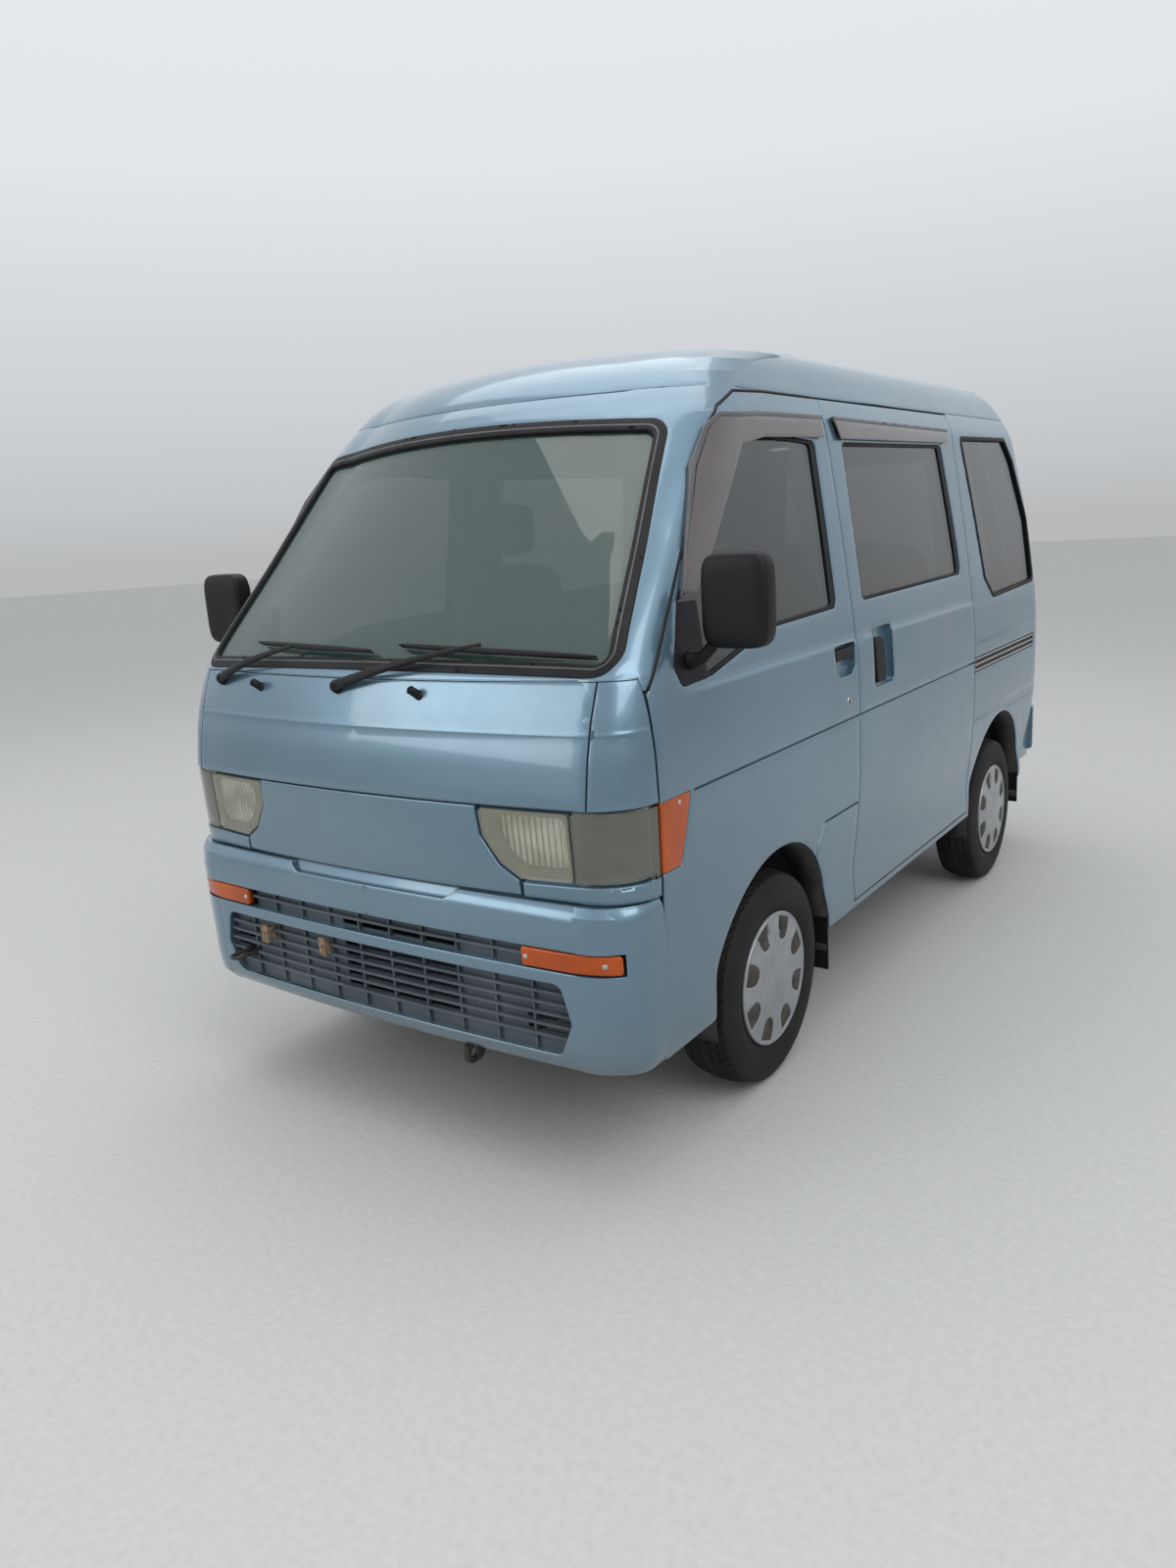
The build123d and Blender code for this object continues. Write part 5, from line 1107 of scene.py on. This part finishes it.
# Rain visors, mirrors, handles and rails
side_patch("door_visor", VISOR, "door_*", SMOKE, 3.5, 14.0, 1.2, 14,
           replaced="door_fittings_*")
side_patch("door_visor_edge", VISOR_EDGE, "door_*", STRIP, 12.0, 15.0, 2.5, 10)
side_patch("slide_visor", SLIDE_VISOR, "body", SMOKE, 3.5, 14.0, 1.2, 14,
           replaced="slide_fittings")
side_patch("slide_visor_edge", SLIDE_VISOR_EDGE, "body", STRIP, 12.0, 15.0, 2.5, 10)
side_patch("mirror_sail", SAIL, "door_*", BLACK, 9.0, 3.0, 2.0, 10,
           replaced="door_fittings_*", clip=lambda p: inside(window_loop, p[:, 1], p[:, 2]))
pts, faces = pillow((797, -1301, 1238), (148, 62, 190), 0.38)
back = pts[:, 1] > -1274
pts[back, 1] = -1274
for obj in pair("mirror_head", pts, faces, "door_*", BLACK, "door_fittings_*"):
    tidy_mesh(obj)
pts, faces = pillow((797, -1272, 1238), (128, 3, 166), 0.3)
for obj in pair("mirror_glass", pts, faces, "door_*", BRIGHT):
    tidy_mesh(obj)
arm = [(668, -1310, 1118), (690, -1308, 1116), (715, -1305, 1124), (735, -1303, 1146), (748, -1302, 1175)]
pts, faces = carried(arm, tapered([22.1, 17.55, 13.0, 13.0, 14.3], 16), (0, 1, 0))
for obj in pair("mirror_arm", pts, faces, "door_*", BLACK):
    tidy_mesh(obj)
HANDLE = rounded([(-568, 1012), (-450, 1012), (-450, 1042), (-568, 1042)], 8)
side_patch("door_handle", HANDLE, "door_*", BLACK, 14.0, 5.0, 4.0, 7,
           replaced="door_fittings_*")
SLIDE_HANDLE = rounded([(-294, 916), (-222, 916), (-222, 1042), (-294, 1042)], 16)
side_patch("slide_handle", SLIDE_HANDLE, "body", BLACK, 18.0, 5.0, 5.0, 8,
           replaced="slide_fittings")
RAIL = [(634, 812), (1424, 812), (1424, 864), (634, 864)]
side_patch("rail_groove", RAIL, "body", SEAL, 4.0, -1.0, 0.8, 16, replaced="slide_fittings")
for index, z in enumerate((819.0, 838.0, 857.0)):
    line = [(636, z - 3), (1422, z - 3), (1422, z + 3), (636, z + 3)]
    side_patch(f"rail_line_{index}", line, "body", BRIGHT, 5.0, 1.6, 2.0, 12)


def disc_loop(y, z, r):
    return [(y + r * math.cos(t), z + r * math.sin(t)) for t in np.linspace(0, 2 * math.pi, 20)[:-1]]


side_patch("key_cylinder", disc_loop(-499, 898, 12), "door_*", BRIGHT, 8.0, 4.5, 2.5, 5)
KEY_SLOT = [(-501, 891), (-497, 891), (-497, 905), (-501, 905)]
side_patch("key_slot", KEY_SLOT, "door_*", SEAL, 5.0, 5.2, 0.4, 4)
side_patch("marker_screw", disc_loop(-1400, 838, 5.5), "door_*", BRIGHT, 5.0, 3.4, 1.5, 4)
for index, x in enumerate((450.0, 632.0)):
    front_patch(f"bumper_screw_{index}", disc_loop(x, 542, 5.5), "body", BRIGHT, 5.0, 4.2, 1.5, 4,
                surface=BUMPER)

# A rubber strip in the gap before the door, up the screen pillar and along the gutter
strip_line = [p for p in densify(grown(DOOR, 3.0), 14) if p[1] > 1078 and p[0] < -440]
places = np.array(body.locate(strip_line, "side"))
strip_out = body.normal(places[:, 0], places[:, 1])
strip_path = body.point(places[:, 0], places[:, 1]) + strip_out * 0.4
pts, faces = carried(strip_path, round_section(4.6, 12), (1, 0, 0))
for obj in pair("door_strip", pts, faces, "body", SEAL):
    tidy_mesh(obj)

# Dark liners in the wheel arches: a bent sheet just inside each opening, from the skin inwards
ARCH_STEPS = 60
for name, arch in (("front", FRONT_ARCH), ("rear", REAR_ARCH)):
    t = np.linspace(math.radians(-12), math.radians(192), ARCH_STEPS)
    y, z, r = arch
    edge_y, edge_z = y + (r - 2) * np.cos(t), np.maximum(z + (r - 2) * np.sin(t), 292)
    edge = np.array(body.locate(list(zip(edge_y, edge_z)), "side"))
    outer_x = body.point(edge[:, 0], edge[:, 1])[:, 0] - 3.0
    inner_x = np.full(ARCH_STEPS, 590.0)
    rings = []
    for x, radius in ((outer_x, r - 1.5), (outer_x, r - 4.5), (inner_x, r - 4.5), (inner_x, r - 1.5)):
        rings.append(np.stack([x, y + radius * np.cos(t), z + radius * np.sin(t)], axis=1))
    pts = np.stack(rings, axis=1).reshape(-1, 3)
    caps = [np.array([[0, 1, 2, 3]]), len(pts) - 1 - np.array([[0, 1, 2, 3]])]
    faces = [grid_faces(ARCH_STEPS, 4, False, True), *caps]
    for obj in pair(f"arch_liner_{name}", pts, faces, "body", UNDER):
        tidy_mesh(obj)


def on_front(x, z, lift):
    """Points on the front of the body at given x and z, some way out from it."""
    places = body.locate(list(zip(np.abs(x), z)), "front")
    u, s = np.array(places).T
    p = body.point(u, s) + body.normal(u, s) * lift
    p[:, 0] *= np.sign(x)
    return p


# Wipers: a tapered arm from its pivot, and a blade with its rubber near the glass
for index, (pivot, tip, blade) in enumerate((
    ((-520.0, 1083.0), (-230.0, 1168.0), (-395.0, 25.0, 1166.0, 1156.0)),
    ((-60.0, 1083.0), (320.0, 1170.0), (105.0, 590.0, 1168.0, 1142.0)),
)):
    t = np.linspace(0, 1, 12)
    hump = 16 * np.sin(t * math.pi) + 14
    arm = on_front(pivot[0] + (tip[0] - pivot[0]) * t, pivot[1] + (tip[1] - pivot[1]) * t, 0.0)
    out = body.normal(np.array([300.0]), np.array([float(body.s_of(1100))]))[0]
    arm = arm + out * hump[:, None]
    pts, faces = carried(arm, tapered(13.5 - 9.0 * t, 12, 0.6), tuple(out))
    obj = new_object(f"wiper_arm_{index}", pitch(pts), faces, BLACK, "body")
    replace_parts(tidy_mesh(obj), "wipers")
    x = np.linspace(blade[0], blade[1], 24)
    z = np.linspace(blade[2], blade[3], 24)
    spine = on_front(x, z, 13.0)
    bow = np.sin(np.linspace(0, math.pi, 24)) ** 0.5
    pts, faces = carried(spine, tapered(2.6 + 4.8 * bow, 10, 0.8), tuple(out))
    new_object(f"wiper_blade_{index}", pitch(pts), faces, BLACK, "body")
    pts, faces = carried(on_front(x, z, 2.6), round_section(2.2, 8), tuple(out))
    new_object(f"wiper_rubber_{index}", pitch(pts), faces, SEAL, "body")
    knob = on_front(np.array([pivot[0], pivot[0]]), np.array([pivot[1], pivot[1]]), 0.0)
    knob = knob[:1] + out * np.array([-4.0, 8.0, 16.0, 22.0, 24.0])[:, None]
    pts, faces = carried(knob, tapered([17.0, 16.0, 14.0, 9.0, 3.0], 20), (0, 0, 1))
    new_object(f"wiper_pivot_{index}", pitch(pts), faces, BLACK, "body")
for index, x in enumerate((-345.0, 185.0)):
    base = on_front(np.array([x, x]), np.array([1072.0, 1072.0]), 0.0)[:1]
    bend = np.array([(0, 0, 0), (-3, 0, 2), (-9, 0, 7), (-10, 0, 8)], float)
    path = base + out * np.array([-2.0, 10.0, 24.0, 27.0])[:, None] + bend
    pts, faces = carried(path, tapered([12.0, 9.5, 9.5, 4.0], 14), (0, 0, 1))
    new_object(f"washer_nozzle_{index}", pitch(pts), faces, BLACK, "body")

# Wheels: a tyre with a cut tread and the cover with its eight pockets, in front of the CAD rim
WHEEL_X = 605.0
TYRE_STEPS, CROWN_STEPS, COVER_STEPS = 384, 62, 320
POCKETS, POCKET_RADIUS, POCKET_END = 8, 25.0, 153.0
TYRE_FACE = np.array([
    (-52, 152), (-58, 156), (-66, 172), (-72, 190), (-73.5, 206),
    (-72.5, 222), (-70, 240), (-66.5, 253), (-62, 261),
])


def tread_depth(x, t):
    """Four grooves round the tyre, and slanted cuts across its shoulders and ribs."""
    round_cuts = sum(np.exp(-((x - at) / 2.1) ** 4) for at in (-38, -13, 13, 38))
    slant = (t * 64 / (2 * math.pi) + np.abs(x) / 30) % 1.0
    across = np.exp(-((slant - 0.5) / 0.09) ** 4) * (np.abs(x) > 18)
    return 6.0 * np.clip(round_cuts + 0.75 * across, 0, 1)


def round_hub(x, r, t, side_sign, hub):
    """Points on one wheel: x out from its middle, r from the axle, turned by t."""
    return np.stack([side_sign * (WHEEL_X + x), hub[0] + r * np.cos(t), hub[1] + r * np.sin(t)], axis=-1)


def tyre_mesh(side_sign, hub):
    """Section round the tyre times turn: the crown's radius is 270.5 - 0.0026 x^2 less the tread's depth."""
    crown_x = np.linspace(-58, 58, CROWN_STEPS)
    crown = np.stack([crown_x, 270.5 - 0.0026 * crown_x ** 2], axis=1)
    section = np.concatenate([TYRE_FACE, crown, TYRE_FACE[::-1] * [-1, 1]])
    t = (np.arange(TYRE_STEPS) / TYRE_STEPS * 2 * math.pi)[:, None]
    x = section[None, :, 0] + 0 * t
    r = section[None, :, 1] + 0 * t
    on_crown = np.zeros(len(section), bool)
    on_crown[len(TYRE_FACE):len(TYRE_FACE) + CROWN_STEPS] = True
    r = r - np.where(on_crown[None, :], tread_depth(x, t), 0.0)
    lines = 0.9 * np.exp(-((r - 238) / 1.6) ** 4) + 1.2 * np.exp(-((r - 168) / 2.4) ** 4)
    pts = round_hub(x + np.sign(x) * lines, r, t, side_sign, hub)
    return pts.reshape(-1, 3), [grid_faces(TYRE_STEPS, len(section), True, True)]


def cover_mesh(side_sign, hub):
    """A dish over radius and turn, with U-shaped pockets: out = dome(r) - depth * soft inside of a pocket."""
    edge = [163, 165, 167, 168.5, 168.5, 167.5]
    r = np.concatenate([np.linspace(0.5, 92, 14), np.linspace(95, 160, 42), edge])
    dome_r, dome_x = np.array([
        (0, 78.6), (60, 78.0), (92, 76.4), (128, 75.0), (158, 72.4), (162, 73.6), (165, 74.2), (168.5, 71.5),
    ]).T
    dome = np.interp(r, dome_r, dome_x)
    dome[-2:] = [66.5, 64.0]
    t = (np.arange(COVER_STEPS) / COVER_STEPS * 2 * math.pi)[:, None]
    turn = ((t * POCKETS / (2 * math.pi)) % 1.0 - 0.5) * 2 * math.pi / POCKETS
    across = r[None, :] * np.sin(turn)
    along = r[None, :] * np.cos(turn)
    gap = np.where(along > 123, np.abs(across), np.hypot(across, along - 123)) - POCKET_RADIUS
    gap = np.maximum(gap, along - POCKET_END)
    dip = 1 / (1 + np.exp(np.clip(gap / 1.3, -30, 30)))
    deep = np.clip((along - 112) / 30, 0.25, 1.0)
    pts = round_hub(dome[None, :] - 15.0 * dip * deep, r[None, :], t, side_sign, hub)
    # The painted shade at each pocket's deep end, 0 to 1, kept as the point value hole
    hole = (dip * np.clip((along - 124) / 8, 0, 1)).ravel()
    rows, columns = pts.shape[:2]
    pts = pts.reshape(-1, 3)
    ends = np.array([[side_sign * (WHEEL_X + x), hub[0], hub[1]] for x in (dome[0], 60.0)])
    around = np.arange(rows) * columns
    fan = np.stack([around, np.full(rows, len(pts)), np.roll(around, -1)], axis=1)
    last = around + columns - 1
    rear = np.stack([last, np.roll(last, -1), np.full(rows, len(pts) + 1)], axis=1)
    return np.concatenate([pts, ends]), [grid_faces(rows, columns, True, False), fan, rear], hole


for row, hub in (("front", (HUB_Y, HUB_Z)), ("rear", REAR_HUB)):
    for end, sign in (("left", 1.0), ("right", -1.0)):
        pts, faces = tyre_mesh(sign, hub)
        obj = new_object(f"tyre_tread_{row}_{end}", pitch(pts), faces, TYRE, f"wheel_{row}_{end}")
        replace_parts(tidy_mesh(obj), f"tyre_{row}_{end}")
        pts, faces, hole = cover_mesh(sign, hub)
        obj = new_object(f"wheel_cover_{row}_{end}", pitch(pts), faces, COVER, f"wheel_{row}_{end}")
        # The painted shade of the pocket ends, handed to the cover's material
        values = np.concatenate([hole, [0.0, 0.0]]).astype(np.float32)
        obj.data.attributes.new("hole", "FLOAT", "POINT").data.foreach_set("value", values)
        tidy_mesh(obj)


# Seats: padded cushions and backs
def seat_pad(name, centre, size, lean):
    """A pad as a soft block with sides that pull in, leant back about its middle, then swollen as cloth."""
    pts, faces = pillow((0, 0, 0), size, 0.42, 26, 40)
    crown = 1 - (pts[:, 0] / size[0] * 2) ** 2 * 0.06
    pts[:, 1] *= crown
    c, s = math.cos(math.radians(lean)), math.sin(math.radians(lean))
    y, z = pts[:, 1] * c + pts[:, 2] * s, -pts[:, 1] * s + pts[:, 2] * c
    pts = np.stack([pts[:, 0], y, z], axis=1) + np.array(centre, float)
    obj = tidy_mesh(new_object(name, pitch(pts), faces, SEATING, "body"))
    swell(obj)
    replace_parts(obj, "seats")
    return obj


def swell(obj, frames=12, cap=0.010):
    """Cloth under pressure without weight, each point held to within cap of where it began."""
    start = np.empty(len(obj.data.vertices) * 3, np.float32)
    obj.data.vertices.foreach_get("co", start)
    cloth = obj.modifiers.new("cloth", "CLOTH")
    cloth.settings.use_pressure = True
    cloth.settings.uniform_pressure_force = 4.0
    cloth.settings.effector_weights.gravity = 0.0
    scene = bpy.context.scene
    for number in range(1, frames + 1):
        scene.frame_set(number)
    shape = obj.evaluated_get(bpy.context.evaluated_depsgraph_get()).to_mesh()
    end = np.empty_like(start)
    shape.vertices.foreach_get("co", end)
    obj.modifiers.remove(cloth)
    move = (end - start).reshape(-1, 3)
    length = np.maximum(np.linalg.norm(move, axis=1, keepdims=True), 1e-9)
    obj.data.vertices.foreach_set("co", (start.reshape(-1, 3) + move * np.minimum(1, cap / length)).ravel())
    obj.data.update()
    scene.frame_set(1)


for end, x in (("left", 330), ("right", -330)):
    seat_pad(f"seat_cushion_{end}", (x, -862, 716), (440, 420, 140), 4)
    seat_pad(f"seat_back_{end}", (x, -652, 1050), (420, 92, 520), 4)
    seat_pad(f"headrest_{end}", (x, -650, 1402), (230, 62, 150), 2)
seat_pad("bench_cushion", (0, 360, 705), (1090, 450, 270), 2)
seat_pad("bench_back", (0, 625, 1070), (1090, 104, 440), 3)

# Floor, light and camera
floor_mat, nt, b = material("floor")
shade(nt, b, "Base Color", noise(nt, 60.0, 4.0, 0.6), (0.3, (0.42, 0.42, 0.41)), (0.7, (0.47, 0.47, 0.46)))
settings(b, Roughness=0.8)
floor_edge = 60.0
floor_mesh = bpy.data.meshes.new("floor")
corners = np.array([(-1, -1, 0), (1, -1, 0), (1, 1, 0), (-1, 1, 0)], float) * floor_edge
floor_mesh.from_pydata(corners.tolist(), [], [(0, 1, 2, 3)])
floor_mesh.materials.append(floor_mat)
floor = bpy.data.objects.new("floor", floor_mesh)
bpy.context.scene.collection.objects.link(floor)

world = bpy.data.worlds.new("studio")
bpy.context.scene.world = world
world.use_nodes = True
wt = world.node_tree
outwards = wt.nodes.new("ShaderNodeTexCoord").outputs["Generated"]
height = fed(wt, "ShaderNodeSeparateXYZ", {"Vector": outwards}, "Z")
shade(wt, wt.nodes["Background"], "Color", height, (0.0, (0.50, 0.51, 0.52)), (0.05, (0.58, 0.60, 0.62)),
      (0.30, (0.80, 0.84, 0.88)), (1.0, (0.95, 0.97, 1.0)))
wt.nodes["Background"].inputs["Strength"].default_value = 0.95

for name, place, target, size, power in (
    ("key", (5.5, -3.5, 6.0), (0, 0, 0.8), 5.0, 230.0),
    ("top", (-1.0, 0.5, 7.5), (0, 0, 0.9), 7.0, 210.0),
    ("front", (-3.5, -7.0, 3.5), (0, 0, 0.8), 4.0, 130.0),
):
    data = bpy.data.lights.new(name, "AREA")
    data.energy = power
    data.size = size
    lamp = bpy.data.objects.new(name, data)
    lamp.location = place
    lamp.rotation_euler = (Vector(target) - Vector(place)).to_track_quat("-Z", "Y").to_euler()
    bpy.context.scene.collection.objects.link(lamp)

yaw, tilt, roll = 0.6227, 0.21515, -0.055267
back = Vector((math.sin(yaw) * math.cos(tilt), -math.cos(yaw) * math.cos(tilt), math.sin(tilt)))
right = (-back).cross(Vector((0, 0, 1))).normalized()
up = right.cross(-back)
right, up = math.cos(roll) * right + math.sin(roll) * up, -math.sin(roll) * right + math.cos(roll) * up
camera_data = bpy.data.cameras.new("camera")
camera_data.sensor_width = 36.0
camera_data.lens = 36.0 * 1136.62 / 1600.0
camera_data.clip_start = 0.05
camera_data.clip_end = 200.0
camera = bpy.data.objects.new("camera", camera_data)
turn = Matrix((right, up, back)).transposed().to_4x4()
turn.translation = Vector((1.84302, -3.32004, 1.36423))
camera.matrix_world = turn
bpy.context.scene.collection.objects.link(camera)
bpy.context.scene.camera = camera
bpy.context.scene.view_settings.view_transform = "Standard"
